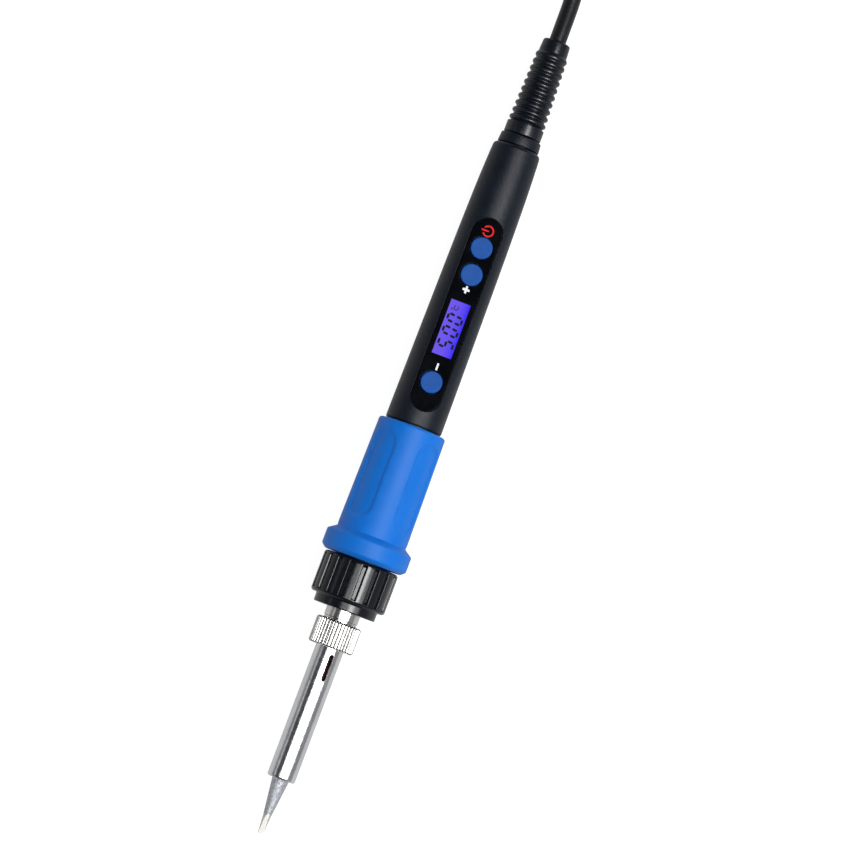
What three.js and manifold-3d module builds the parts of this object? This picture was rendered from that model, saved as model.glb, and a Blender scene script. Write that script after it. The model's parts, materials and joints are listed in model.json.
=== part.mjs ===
// Digital soldering iron with a display in its handle, lying on a flat surface with its cord put away.
// Millimetres, +Z up. The tool is modelled along its own +Y axis, where a station is the distance
// from the working end of the tip, and is then laid down, with the buttons facing up.
import * as THREE from "three";
import { mergeVertices } from "three/addons/utils/BufferGeometryUtils.js";
import Module from "manifold-3d";

// ---- Driving dimensions -------------------------------------------------------------------------

const GAP = 0.3; // clearance between pieces that touch
const SPLIT = 0.15; // half the gap between the two handle shells

const FINE = 32; // sides of the large round pieces
const COARSE = 20; // sides of the small round pieces

const TIP = {
  endWidth: 1.6, endThickness: 0.5, tinnedLength: 5.9, tinnedRadius: 1.25, coneRadius: 2.55,
  shoulder: 18.4, shoulderLength: 0.5, shaftRadius: 3.25, rear: 43, boreRadius: 2.25, boreFront: 20.6, borePoint: 1,
};
const BARREL = {
  front: 16.7, radius: 4.2, wall: 0.62, mouthRadius: 2.85, mouthRear: 18.1, mouthEdge: 0.2, lip: 0.5,
  flangeFront: 58.9, flangeRadius: 5.1, rear: 59.9,
  slotFront: 47.4, slotRear: 55.4, slotWidth: 1.2, slotTurn: THREE.MathUtils.degToRad(15),
};
const KNURLED_NUT = {
  front: 57.1, rear: 65.1, radius: 6.75, rootRadius: 6.35, knurls: 40, grooveShare: 0.8,
  firstGroove: THREE.MathUtils.degToRad(4.5), chamfer: 0.45, boreRadius: 4.5, threadFront: 58.6, threadRadius: 5.4,
};
const NECK = { front: 60.2, radius: 5.1, flangeFront: 71.6, flangeRadius: 6.6, rear: 73, boreRadius: 2.6 };
const RIBBED_NUT = {
  front: 68.5, stepRadius: 9.35, stepEdge: 0.4, shoulder: 71.1, rear: 83.55, radius: 11.3, ribs: 18,
  firstGroove: THREE.MathUtils.degToRad(13), grooveDepth: 0.75, grooveShare: 0.42, chamfer: 0.9,
  boreRadius: 5.4, threadFront: 71.3, threadRadius: 8.55,
};
const HEATER = { front: 21, rear: 86, radius: 1.95, flangeFront: 73.3, flangeRear: 76.3, flangeRadius: 6.6 };
const SHELL = {
  front: 76.6, seatRadius: 8.2, seatRear: 125.6, frontRound: 0.5, rear: 212, rearRadius: 6.4,
  cavityRadius: 6.4, cavityRear: 200,
  anchorFront: 203, anchorRear: 208.8, anchorRadius: 5.5, boreRadius: 3.7, spigotRadius: 4.9, spigotRear: 215.2,
};
// Outside of the handle behind the grip: station and radius.
const HANDLE_OUTLINE = [
  [126.2, 8.55], [156, 8.26], [182, 8.0], [198.5, 7.7], [204, 7.5], [208.7, 7.3], [211, 7.1],
];
const GRIP = {
  front: 83.85, rear: 125.3, boreRadius: 8.5, flangeRadius: 12.95, flangeFront: 85, flangeRear: 88.9,
  flangeEdge: 1.1, sleeveFront: 91.3, sleeveRadius: 10.6, rearRadius: 10.15, rearRound: 1.3,
  padFront: 95.1, padRear: 121.9, padAngle: THREE.MathUtils.degToRad(52), padDepth: 0.45,
};
const COLLAR = { front: 212.3, rear: 215.4, frontRadius: 6.3, rearRadius: 6.05, boreRadius: 5.2, edge: 0.3 };
const BOOT = {
  anchorFront: 206, anchorRear: 208.5, anchorRadius: 5.2, neckRadius: 3.4, baseFront: 215.7, baseRear: 219.4,
  baseRadius: 5.6, ribs: 10, ribPitch: 2.2, grooveDepth: 0.8, lastRibRadius: 4.8, rear: 245.3, endRadius: 4.1,
  endRound: 0.6,
};
const CORD = { radius: 2.5, innerFront: 204.5 };

// The face panel lies on the handle's flat, which follows the handle's taper. Its own frame has its
// origin on the panel's top face, above the station given here.
const PANEL = {
  station: 159.85, height: 6.82, slope: THREE.MathUtils.degToRad(0.72), length: 58.9, width: 9,
  thickness: 0.9, recessDepth: 1.2, bedDepth: 2.5, bedMargin: 2,
};
const DISPLAY = {
  front: 147.2, rear: 163.8, width: 6.15, glassBorder: 1.4, sideBorder: 0.6, glassTop: -1.1, glassBottom: -2.7,
  windowPlay: 0.05, windowSink: 0.02, lightGuideGap: 0.2,
};
const BUTTON = {
  stations: { power: 180.5, plus: 172.2, minus: 139 }, radius: 3.22, holeRadius: 3.5, proud: 0.45,
  flangeRadius: 3.9, flangeTop: -2.75, flangeBottom: -3.2,
};
const BOARD = { front: 98, rear: 199, width: 10.6, top: -5.8, thickness: 1, screwHoleRadius: 1.2 };
const SOLDER_GAP = 0.1; // between the board and what is soldered to it
const BOARD_UNDERSIDE = BOARD.top - BOARD.thickness - SOLDER_GAP;
const SWITCH = { size: 4.5, height: 2, seat: 0.05, plungerRadius: 0.9, plungerHeight: 0.05 };
const BOARD_SCREW = {
  stations: { front: 103, rear: 193.5 }, radius: 0.9, headRadius: 1.7, headHeight: 1, length: 4.4,
};
const BOARD_POST = { radius: 2.3, top: 0.5, holeRadius: 1.2, holeTop: -1.2, intoWall: 0.8 };
const JOIN = 0.5; // how far two joined shapes reach into each other
const THROUGH = { bottom: -5, top: 1 }; // a hole right through the wall under the panel

// Where the handle touches the surface behind the grip flange.
const HANDLE_REST = { station: 208.7, radius: 7.3 };

// The cord beyond the handle lies on the surface: a lead, a hank of four flat turns drawn in at its
// waist by a tie, and a tail that lies on the hank and ends in the plug.
const HANK = { nearLoop: 182, farLoop: 270, width: 45.6, waist: 20.6, height: 10 };
const TIE = { width: 6, thickness: 1, outsideStep: [-4.6, -2.8], insideStep: [-5.2, -3.6] };
const PLUG = {
  x: 10.2, back: 249, length: 30, frontWidth: 24, frontLength: 12, backWidth: 17, backRound: 2, thickness: 12,
  bottom: 11.85,
  reliefLength: 15, reliefRadius: 4.2, reliefEndRadius: 3.1,
  bladeLength: 17, bladeWidth: 6.35, bladeThickness: 1.52, bladeSpacing: 12.7,
};
const LEAD_ROUTE = [
  [0, 123, 5.4], [0, 127, 4.9], [0, 131.5, 3.9], [0, 136, 3.05], [-0.7, 141.8, 2.65], [-2.8, 147.3, 2.55],
  [-6.2, 152.1, 2.55], [-10.15, 155.6, 2.55], [-14.1, 159.1, 2.55], [-16.4, 162.1, 2.55],
];
const TAIL_ROUTE = [
  [-20.3, 183, 12.8], [-19.3, 190, 12.8], [-16.7, 198, 12.8], [-13.2, 206, 12.8], [-10, 214, 12.8],
  [-8.4, 220, 12.8], [-7.8, 226, 12.8], [-8.4, 232, 12.8], [-10, 238, 12.8], [-13.2, 246, 12.8],
  [-16.7, 254, 12.8], [-19.3, 262, 12.8], [-20.3, 270, 12.8], [-18.3, 277.6, 12.8], [-12.7, 283.2, 12.9],
  [-5.05, 285.25, 13.3], [2.6, 283.2, 14.4], [8.15, 277.6, 15.8], [10.2, 270, 17.2], [10.2, 264.3, 17.85],
];

// ---- Materials ----------------------------------------------------------------------------------

function finish(name, color, roughness, metalness) {
  return new THREE.MeshStandardMaterial({ name, color, roughness, metalness });
}

const tinnedCopper = finish("tinned_copper", 0x8f93a3, 0.5, 0.8);
const chrome = finish("chrome", 0xc9ccd2, 0.15, 1);
const nickel = finish("nickel", 0xb9bcc0, 0.25, 1);
const blackPlastic = finish("black_plastic", 0x0c0d10, 0.2, 0);
const handlePlastic = finish("handle_plastic", 0x161c27, 0.45, 0);
const blueRubber = finish("blue_rubber", 0x1d70d6, 0.5, 0);
const bootRubber = finish("boot_rubber", 0x0e0f11, 0.5, 0);
const cordSheath = finish("cord_sheath", 0x0d0e10, 0.45, 0);
const ceramic = finish("ceramic", 0xe8e6df, 0.4, 0);
const panelGloss = finish("panel_gloss", 0x050608, 0.08, 0);
const clearWindow = finish("clear_window", 0x3a3f55, 0.05, 0);
const liquidCrystal = finish("liquid_crystal", 0x6a57f5, 0.15, 0);
const lightGuide = finish("light_guide", 0xf2f4ff, 0.3, 0);
const buttonBlue = finish("button_blue", 0x2a60b4, 0.35, 0);
const boardGreen = finish("board_green", 0x12592f, 0.4, 0);
const componentBlack = finish("component_black", 0x161617, 0.5, 0);
const brassBlade = finish("brass_blade", 0xcdb36b, 0.25, 1);
const wireRed = finish("wire_red", 0xb01818, 0.45, 0);
const wireBlue = finish("wire_blue", 0x2038a8, 0.45, 0);
const wireWhite = finish("wire_white", 0xe6e4dc, 0.5, 0);
const wireBrown = finish("wire_brown", 0x5a3018, 0.45, 0);
const capacitorFilm = finish("capacitor_film", 0xc8a018, 0.35, 0);
const capacitorSleeve = finish("capacitor_sleeve", 0x101a3a, 0.3, 0);

// ---- Helpers ------------------------------------------------------------------------------------

const wasm = await Module();
wasm.setup();

// A closed three.js geometry as a solid that can be cut and joined.
function solid(geometry) {
  const bare = geometry.clone();
  bare.deleteAttribute("normal");
  bare.deleteAttribute("uv");
  const merged = mergeVertices(bare, 1e-4);
  const corners = merged.index.array;
  const kept = [];
  for (let i = 0; i < corners.length; i += 3) {
    const [a, b, c] = [corners[i], corners[i + 1], corners[i + 2]];
    if (a !== b && b !== c && c !== a) kept.push(a, b, c);
  }
  return new wasm.Manifold(new wasm.Mesh({
    numProp: 3,
    vertProperties: new Float32Array(merged.attributes.position.array),
    triVerts: new Uint32Array(kept),
  }));
}

function surface(body) {
  const mesh = body.getMesh();
  const geometry = new THREE.BufferGeometry();
  geometry.setAttribute("position", new THREE.BufferAttribute(mesh.vertProperties, 3));
  geometry.setIndex(new THREE.BufferAttribute(mesh.triVerts, 1));
  geometry.computeVertexNormals();
  return geometry;
}

// Turned about +Y from [station, radius] pairs that run up the outside. The sides have their flats
// on the stated radius, one of them facing straight down.
function turned(outline, sides = COARSE) {
  const reach = 1 / Math.cos(Math.PI / sides);
  const points = outline.map(([station, radius]) => new THREE.Vector2(radius * reach, station));
  return new THREE.LatheGeometry(points, sides, Math.PI / sides);
}

// Turned like the above, but hollow: the outline closes on itself.
function turnedRing(outline, sides = COARSE) {
  return turned([...outline, outline[0]], sides);
}

// A box from its lowest to its highest corner.
function block(low, high) {
  const geometry = new THREE.BoxGeometry(high[0] - low[0], high[1] - low[1], high[2] - low[2]);
  return geometry.translate((low[0] + high[0]) / 2, (low[1] + high[1]) / 2, (low[2] + high[2]) / 2);
}

// A round peg along +Z.
function peg(x, y, bottom, top, radius, sides = COARSE) {
  const geometry = new THREE.CylinderGeometry(radius, radius, top - bottom, sides);
  return geometry.rotateX(Math.PI / 2).translate(x, y, (bottom + top) / 2);
}

// A plate with round ends along Y, from its bottom to its top.
function roundEndedPlate(width, length, bottom, top, sides = 12) {
  const radius = width / 2;
  const reach = length / 2 - radius;
  const shape = new THREE.Shape();
  shape.absarc(0, reach, radius, 0, Math.PI);
  shape.absarc(0, -reach, radius, Math.PI, 2 * Math.PI);
  const geometry = new THREE.ExtrudeGeometry(shape, { depth: top - bottom, bevelEnabled: false, curveSegments: sides });
  return geometry.translate(0, 0, bottom);
}

function aroundAxis(radius, turn) {
  return new THREE.Vector2(radius * Math.cos(turn), radius * Math.sin(turn));
}

function outlineShape(corners) {
  return new THREE.Shape(corners.map((corner) => new THREE.Vector2(...corner)));
}

// A round cable or wire along a smooth curve through the points.
function cable(points, radius, sides, steps) {
  const path = new THREE.CatmullRomCurve3(points.map((point) => new THREE.Vector3(...point)), false, "centripetal");
  const corners = Array.from({ length: sides }, (_, i) => aroundAxis(radius, (2 * Math.PI * i) / sides));
  const section = new THREE.Shape(corners);
  return new THREE.ExtrudeGeometry(section, { steps, extrudePath: path, bevelEnabled: false });
}

// ---- The laid-down tool ---------------------------------------------------------------------------

const iron = new THREE.Group();
const tool = new THREE.Group();
const panelFrame = new THREE.Group();
iron.add(tool);
tool.add(panelFrame);
panelFrame.position.set(0, PANEL.station, PANEL.height);
panelFrame.rotation.x = -PANEL.slope;
panelFrame.updateMatrix();

function addPiece(group, name, geometry, material) {
  const mesh = new THREE.Mesh(geometry, material);
  mesh.name = name;
  group.add(mesh);
}

// ---- Tip, heater and barrel -------------------------------------------------------------------------

function tipGeometry() {
  const body = solid(turned([
    [0, 0], [0, TIP.endWidth / 2], [TIP.tinnedLength, TIP.tinnedRadius], [BARREL.front, TIP.coneRadius],
    [TIP.shoulder - TIP.shoulderLength, TIP.coneRadius], [TIP.shoulder, TIP.shaftRadius], [TIP.rear, TIP.shaftRadius],
    [TIP.rear, TIP.boreRadius], [TIP.boreFront, TIP.boreRadius], [TIP.boreFront - TIP.borePoint, 0],
  ]));
  // Two flats thin the working end to a small chisel.
  const flatAngle = Math.atan((TIP.tinnedRadius - TIP.endThickness / 2) / TIP.tinnedLength);
  let cut = body;
  const reach = 2 * TIP.tinnedLength;
  for (const side of [1, -1]) {
    const flat = block([-TIP.shaftRadius, -1, 0], [TIP.shaftRadius, reach, TIP.shaftRadius]);
    flat.rotateX(flatAngle).translate(0, 0, TIP.endThickness / 2);
    if (side < 0) flat.rotateY(Math.PI);
    cut = cut.subtract(solid(flat));
  }
  return surface(cut);
}

function heaterRodGeometry() {
  return turned([[HEATER.front, 0], [HEATER.front, HEATER.radius], [HEATER.rear, HEATER.radius], [HEATER.rear, 0]], 16);
}

function heaterFlangeGeometry() {
  return turnedRing([
    [HEATER.flangeFront, HEATER.radius + GAP], [HEATER.flangeFront, HEATER.flangeRadius],
    [HEATER.flangeRear, HEATER.flangeRadius], [HEATER.flangeRear, HEATER.radius + GAP],
  ]);
}

function barrelGeometry() {
  const inside = BARREL.radius - BARREL.wall;
  const tube = solid(turnedRing([
    [BARREL.front + BARREL.mouthEdge, BARREL.mouthRadius],
    [BARREL.front, BARREL.mouthRadius + BARREL.mouthEdge],
    [BARREL.front, BARREL.radius - BARREL.lip], [BARREL.front + BARREL.lip, BARREL.radius],
    [BARREL.flangeFront, BARREL.radius], [BARREL.flangeFront, BARREL.flangeRadius],
    [BARREL.rear, BARREL.flangeRadius], [BARREL.rear, inside], [BARREL.mouthRear, inside],
    [BARREL.mouthRear, BARREL.mouthRadius],
  ], 24));
  const half = BARREL.slotWidth / 2;
  const slot = block([-half, BARREL.slotFront, 1], [half, BARREL.slotRear, BARREL.radius + 1]);
  return surface(tube.subtract(solid(slot.rotateY(BARREL.slotTurn))));
}

// ---- The two nuts and the neck --------------------------------------------------------------------

// A prism along +Y with grooves down its sides. The first groove is at a turn from +X towards -Z, and a
// groove with its two walls takes up a share of the pitch.
function fluted(front, rear, radius, grooveDepth, count, grooveShare, firstGroove) {
  const pitch = (2 * Math.PI) / count;
  const edge = (pitch * grooveShare) / 2;
  const corners = [];
  for (let i = 0; i < count; i += 1) {
    const middle = firstGroove + i * pitch;
    corners.push(aroundAxis(radius, middle - edge), aroundAxis(radius - grooveDepth, middle - edge / 2));
    corners.push(aroundAxis(radius - grooveDepth, middle + edge / 2), aroundAxis(radius, middle + edge));
  }
  const geometry = new THREE.ExtrudeGeometry(new THREE.Shape(corners), { depth: rear - front, bevelEnabled: false });
  return geometry.rotateX(-Math.PI / 2).translate(0, front, 0);
}

function knurledNutGeometry() {
  const nut = KNURLED_NUT;
  const depth = nut.radius - nut.rootRadius;
  const knurls = solid(fluted(nut.front, nut.rear, nut.radius, depth, nut.knurls, nut.grooveShare, nut.firstGroove));
  const envelope = solid(turnedRing([
    [nut.front, nut.boreRadius], [nut.front, nut.radius - nut.chamfer], [nut.front + nut.chamfer, nut.radius],
    [nut.rear - nut.chamfer, nut.radius], [nut.rear, nut.radius - nut.chamfer], [nut.rear, nut.threadRadius],
    [nut.threadFront, nut.threadRadius], [nut.threadFront, nut.boreRadius],
  ], 24));
  return surface(knurls.intersect(envelope));
}

function neckGeometry() {
  return turnedRing([
    [NECK.front, NECK.boreRadius], [NECK.front, NECK.radius], [NECK.flangeFront, NECK.radius],
    [NECK.flangeFront, NECK.flangeRadius], [NECK.rear, NECK.flangeRadius], [NECK.rear, NECK.boreRadius],
  ]);
}

function ribbedNutGeometry() {
  const nut = RIBBED_NUT;
  const ribs = solid(fluted(
    nut.shoulder, nut.rear, nut.radius, nut.grooveDepth, nut.ribs, nut.grooveShare, nut.firstGroove,
  ));
  const step = solid(turned([
    [nut.front, 0], [nut.front, nut.stepRadius - nut.stepEdge], [nut.front + nut.stepEdge, nut.stepRadius],
    [nut.shoulder + 1, nut.stepRadius], [nut.shoulder + 1, 0],
  ], FINE));
  const envelope = solid(turnedRing([
    [nut.front - 1, nut.boreRadius], [nut.front - 1, nut.stepRadius], [nut.shoulder, nut.stepRadius],
    [nut.shoulder, nut.radius - nut.chamfer], [nut.shoulder + nut.chamfer, nut.radius],
    [nut.rear - nut.chamfer, nut.radius], [nut.rear, nut.radius - nut.chamfer], [nut.rear, nut.threadRadius],
    [nut.threadFront, nut.threadRadius], [nut.threadFront, nut.boreRadius],
  ], FINE));
  return surface(ribs.add(step).intersect(envelope));
}

// ---- Handle ---------------------------------------------------------------------------------------

function gripGeometry() {
  const grip = GRIP;
  const sleeve = solid(turnedRing([
    [grip.front, grip.boreRadius], [grip.front, grip.flangeRadius - grip.flangeEdge],
    [grip.flangeFront, grip.flangeRadius], [grip.flangeRear, grip.flangeRadius],
    [grip.sleeveFront, grip.sleeveRadius], [grip.rear - grip.rearRound, grip.rearRadius],
    [grip.rear, grip.rearRadius - grip.rearRound], [grip.rear, grip.boreRadius],
  ], FINE));
  // Four long finger pads are sunk into the sleeve, between the top, bottom and side ridges.
  const floorRadius = grip.rearRadius - grip.padDepth;
  const core = solid(turned([[grip.front, 0], [grip.front, floorRadius], [grip.rear, floorRadius], [grip.rear, 0]], FINE));
  const width = 2 * grip.sleeveRadius * Math.sin(grip.padAngle / 2);
  let padded = sleeve;
  for (let i = 0; i < 4; i += 1) {
    const pad = roundEndedPlate(width, grip.padRear - grip.padFront, grip.boreRadius, grip.flangeRadius);
    pad.translate(0, (grip.padFront + grip.padRear) / 2, 0).rotateY(Math.PI / 4 + (i * Math.PI) / 2);
    padded = padded.subtract(solid(pad).subtract(core));
  }
  return surface(padded);
}

function inPanelFrame(geometry) {
  return solid(geometry.applyMatrix4(panelFrame.matrix));
}

function boardStation(station) {
  return station - PANEL.station;
}

// The whole handle tube with its cavity, before it is split into two shells.
function handleTube() {
  const shell = SHELL;
  const outside = solid(turned([
    [shell.front, 0], [shell.front, shell.seatRadius], [shell.seatRear, shell.seatRadius],
    [shell.seatRear, HANDLE_OUTLINE[0][1] - shell.frontRound], ...HANDLE_OUTLINE, [shell.rear, shell.rearRadius],
    [shell.rear, shell.spigotRadius], [shell.spigotRear, shell.spigotRadius], [shell.spigotRear, 0],
  ], FINE));
  const cavity = solid(turned([
    [shell.front - 1, 0], [shell.front - 1, shell.cavityRadius], [shell.cavityRear, shell.cavityRadius],
    [shell.anchorFront, shell.anchorRadius], [shell.anchorRear, shell.anchorRadius],
    [shell.anchorRear, shell.boreRadius], [shell.spigotRear + 1, shell.boreRadius], [shell.spigotRear + 1, 0],
  ], FINE));
  // A flat bed under the panel keeps a wall below its recess.
  const bedEnd = PANEL.length / 2 + PANEL.bedMargin;
  const bed = inPanelFrame(block(
    [-shell.seatRadius, -bedEnd, -PANEL.bedDepth], [shell.seatRadius, bedEnd, shell.seatRadius],
  ));
  return outside.subtract(cavity.subtract(bed));
}

// The part of the handle tube between two heights.
function tubeBetween(bottom, top) {
  return handleTube().intersect(solid(block([-SHELL.seatRadius, 0, bottom], [SHELL.seatRadius, BOOT.rear, top])));
}

function upperShellGeometry() {
  const { width, length, recessDepth } = PANEL;
  let shell = tubeBetween(SPLIT, 2 * SHELL.seatRadius);
  // Two posts hold the circuit board.
  for (const station of Object.values(BOARD_SCREW.stations)) {
    const y = boardStation(station);
    const post = inPanelFrame(peg(0, y, BOARD.top + GAP, BOARD_POST.top, BOARD_POST.radius, 12));
    shell = shell.add(post.intersect(postRoom()));
    shell = shell.subtract(inPanelFrame(peg(0, y, BOARD.top, BOARD_POST.holeTop, BOARD_POST.holeRadius, 12)));
  }
  shell = shell.subtract(inPanelFrame(roundEndedPlate(width + GAP, length + GAP, -recessDepth, SHELL.seatRadius)));
  const halfWidth = DISPLAY.width / 2 + DISPLAY.sideBorder + GAP;
  shell = shell.subtract(inPanelFrame(block(
    [-halfWidth, boardStation(DISPLAY.front) - DISPLAY.glassBorder - GAP, THROUGH.bottom],
    [halfWidth, boardStation(DISPLAY.rear) + DISPLAY.glassBorder + GAP, THROUGH.top],
  )));
  for (const station of Object.values(BUTTON.stations)) {
    const hole = peg(0, boardStation(station), THROUGH.bottom, THROUGH.top, BUTTON.holeRadius);
    shell = shell.subtract(inPanelFrame(hole));
  }
  return surface(shell);
}

// The space inside the handle's outer wall that the board posts may fill.
function postRoom() {
  const radius = SHELL.cavityRadius + BOARD_POST.intoWall;
  return solid(turned([
    [SHELL.front, 0], [SHELL.front, radius], [SHELL.cavityRear, radius], [SHELL.cavityRear, 0],
  ], FINE));
}

function lowerShellGeometry() {
  return surface(tubeBetween(-2 * SHELL.seatRadius, -SPLIT));
}

function collarGeometry() {
  return turnedRing([
    [COLLAR.front, COLLAR.boreRadius], [COLLAR.front, COLLAR.frontRadius - COLLAR.edge],
    [COLLAR.front + COLLAR.edge, COLLAR.frontRadius], [COLLAR.rear - COLLAR.edge, COLLAR.rearRadius],
    [COLLAR.rear, COLLAR.rearRadius - COLLAR.edge], [COLLAR.rear, COLLAR.boreRadius],
  ], 24);
}

function bootGeometry() {
  const boot = BOOT;
  const bore = CORD.radius + GAP;
  const outline = [
    [boot.anchorFront, bore], [boot.anchorFront, boot.anchorRadius], [boot.anchorRear, boot.anchorRadius],
    [boot.anchorRear, boot.neckRadius], [boot.baseFront, boot.neckRadius], [boot.baseFront, boot.baseRadius],
    [boot.baseRear, boot.baseRadius],
  ];
  for (let i = 0; i < boot.ribs; i += 1) {
    const radius = THREE.MathUtils.lerp(boot.baseRadius, boot.lastRibRadius, i / (boot.ribs - 1));
    const front = boot.baseRear + i * boot.ribPitch;
    outline.push([front + 0.25 * boot.ribPitch, radius - boot.grooveDepth]);
    outline.push([front + 0.75 * boot.ribPitch, radius]);
  }
  const lastRib = boot.baseRear + boot.ribs * boot.ribPitch;
  outline.push([lastRib, boot.endRadius], [boot.rear - boot.endRound, boot.endRadius]);
  outline.push([boot.rear, boot.endRadius - boot.endRound], [boot.rear, bore]);
  return turnedRing(outline, COARSE);
}

// ---- Face panel, display and buttons ----------------------------------------------------------------

function panelGeometry() {
  let plate = solid(roundEndedPlate(PANEL.width, PANEL.length, -PANEL.thickness, 0));
  for (const station of Object.values(BUTTON.stations)) {
    const hole = peg(0, boardStation(station), THROUGH.bottom, THROUGH.top, BUTTON.holeRadius);
    plate = plate.subtract(solid(hole));
  }
  return surface(plate.subtract(solid(displayBlock(0, THROUGH.bottom, THROUGH.top))));
}

// A block over the visible part of the display, grown by a border.
function displayBlock(border, bottom, top) {
  const half = DISPLAY.width / 2 + Math.min(border, DISPLAY.sideBorder);
  return block(
    [-half, boardStation(DISPLAY.front) - border, bottom], [half, boardStation(DISPLAY.rear) + border, top],
  );
}

function windowGeometry() {
  return displayBlock(-DISPLAY.windowPlay, -PANEL.thickness, -DISPLAY.windowSink);
}

function lcdGeometry() {
  return displayBlock(DISPLAY.glassBorder, DISPLAY.glassBottom, DISPLAY.glassTop);
}

function backlightGeometry() {
  return displayBlock(DISPLAY.glassBorder, BOARD.top + GAP, DISPLAY.glassBottom - DISPLAY.lightGuideGap);
}

function buttonGeometry(station) {
  const cap = solid(peg(0, station, BUTTON.flangeBottom, BUTTON.proud, BUTTON.radius, 24));
  const flange = solid(peg(0, station, BUTTON.flangeBottom, BUTTON.flangeTop, BUTTON.flangeRadius, 24));
  return surface(cap.add(flange));
}

function switchGeometry(station) {
  const half = SWITCH.size / 2;
  const bottom = BOARD.top + SWITCH.seat;
  const top = bottom + SWITCH.height;
  const housing = solid(block([-half, station - half, bottom], [half, station + half, top]));
  const plunger = solid(peg(0, station, top - JOIN, top + SWITCH.plungerHeight, SWITCH.plungerRadius, 12));
  return surface(housing.add(plunger));
}

function boardGeometry() {
  const half = BOARD.width / 2;
  let board = solid(block(
    [-half, boardStation(BOARD.front), BOARD.top - BOARD.thickness], [half, boardStation(BOARD.rear), BOARD.top],
  ));
  for (const station of Object.values(BOARD_SCREW.stations)) {
    const hole = peg(0, boardStation(station), BOARD.top - 2 * BOARD.thickness, 0, BOARD.screwHoleRadius, 12);
    board = board.subtract(solid(hole));
  }
  return surface(board);
}

function boardScrewGeometry(station) {
  const seat = BOARD_UNDERSIDE;
  const shank = solid(peg(0, station, seat - JOIN, seat + BOARD_SCREW.length, BOARD_SCREW.radius, 10));
  const head = solid(peg(0, station, seat - BOARD_SCREW.headHeight, seat, BOARD_SCREW.headRadius, 12));
  return surface(shank.add(head));
}

// ---- Electronics and wires inside the handle --------------------------------------------------------

// Parts soldered under the board: station, half width, half length and height.
const UNDER_BOARD = {
  triac: { station: 112, halfWidth: 3.25, halfLength: 3.05, height: 2.3, material: componentBlack },
  controller_chip: { station: 155, halfWidth: 1.95, halfLength: 5, height: 1.5, material: componentBlack },
  dropper_capacitor: { station: 167.5, halfWidth: 3, halfLength: 5.5, height: 5, material: capacitorFilm },
};
const UNDER_BOARD_ROUND = {
  smoothing_capacitor: { station: 178.5, x: 0, radius: 2.5, length: 9, material: capacitorSleeve },
  fuse: { station: 187.5, x: -3, radius: 1.3, length: 6, material: ceramic },
};
const HEATER_WIRE = {
  radius: 0.45, spread: 0.7, front: 86.3, straight: 2.5, bend: 5, bendHeight: 2.4, boardEnd: 100.2, boardHeight: 2.55,
};
const MAINS_WIRE_RADIUS = 0.7;
// From the cord's end to the board, on the +X side.
const MAINS_WIRE_ROUTE = [[1.15, 204.2, 0], [1.5, 202.5, 0.3], [3.3, 198, 1.75], [3.4, 195.5, 1.75]];
const HEATER_WIRES = [
  { name: "heater_wire_1", x: -3.6, side: -1, rise: 1, material: wireRed },
  { name: "heater_wire_2", x: -1.2, side: -1, rise: -1, material: wireRed },
  { name: "sensor_wire_1", x: 1.2, side: 1, rise: -1, material: wireWhite },
  { name: "sensor_wire_2", x: 3.6, side: 1, rise: 1, material: wireWhite },
];

function underBoardBlock({ station, halfWidth, halfLength, height }) {
  const y = boardStation(station);
  return block([-halfWidth, y - halfLength, BOARD_UNDERSIDE - height], [halfWidth, y + halfLength, BOARD_UNDERSIDE]);
}

function underBoardRound({ station, x, radius, length }) {
  const geometry = new THREE.CylinderGeometry(radius, radius, length, 14);
  return geometry.translate(x, boardStation(station), BOARD_UNDERSIDE - radius);
}

function heaterWireGeometry({ x, side, rise }) {
  const wire = HEATER_WIRE;
  const [startX, startZ] = [side * wire.spread, rise * wire.spread];
  return cable([
    [startX, wire.front, startZ], [startX, wire.front + wire.straight, startZ],
    [x, wire.boardEnd - wire.bend, wire.bendHeight], [x, wire.boardEnd, wire.boardHeight],
  ], wire.radius, 6, 8);
}

function mainsWireGeometry(side) {
  return cable(MAINS_WIRE_ROUTE.map(([x, station, z]) => [side * x, station, z]), MAINS_WIRE_RADIUS, 6, 6);
}

// ---- Cord, hank, tie and plug -----------------------------------------------------------------------

// Half the hank's width at a place between its two loops: widest at the loops, drawn in at the tie.
function hankHalfWidth(y) {
  const turn = (2 * Math.PI * (y - HANK.nearLoop)) / (HANK.farLoop - HANK.nearLoop);
  return (HANK.width + HANK.waist) / 4 + ((HANK.width - HANK.waist) / 4) * Math.cos(turn);
}

function hankGeometry() {
  const { nearLoop, farLoop, width, height } = HANK;
  const steps = 12;
  const shape = new THREE.Shape();
  shape.absarc(0, farLoop, width / 2, 0, Math.PI);
  for (let i = 1; i <= steps; i += 1) {
    const y = THREE.MathUtils.lerp(farLoop, nearLoop, i / steps);
    shape.lineTo(-hankHalfWidth(y), y);
  }
  shape.absarc(0, nearLoop, width / 2, Math.PI, 2 * Math.PI);
  for (let i = 1; i < steps; i += 1) {
    const y = THREE.MathUtils.lerp(nearLoop, farLoop, i / steps);
    shape.lineTo(hankHalfWidth(y), y);
  }
  const hank = new THREE.ExtrudeGeometry(shape, { depth: height, bevelEnabled: false, curveSegments: 10 });
  const tieRoom = block(
    [-width, tieStation() - TIE.width / 2 - GAP, -1],
    [width, tieStation() + TIE.width / 2 + GAP, TIE.thickness + GAP],
  );
  return surface(solid(hank).subtract(solid(tieRoom)));
}

function tieStation() {
  return (HANK.nearLoop + HANK.farLoop) / 2;
}

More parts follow.
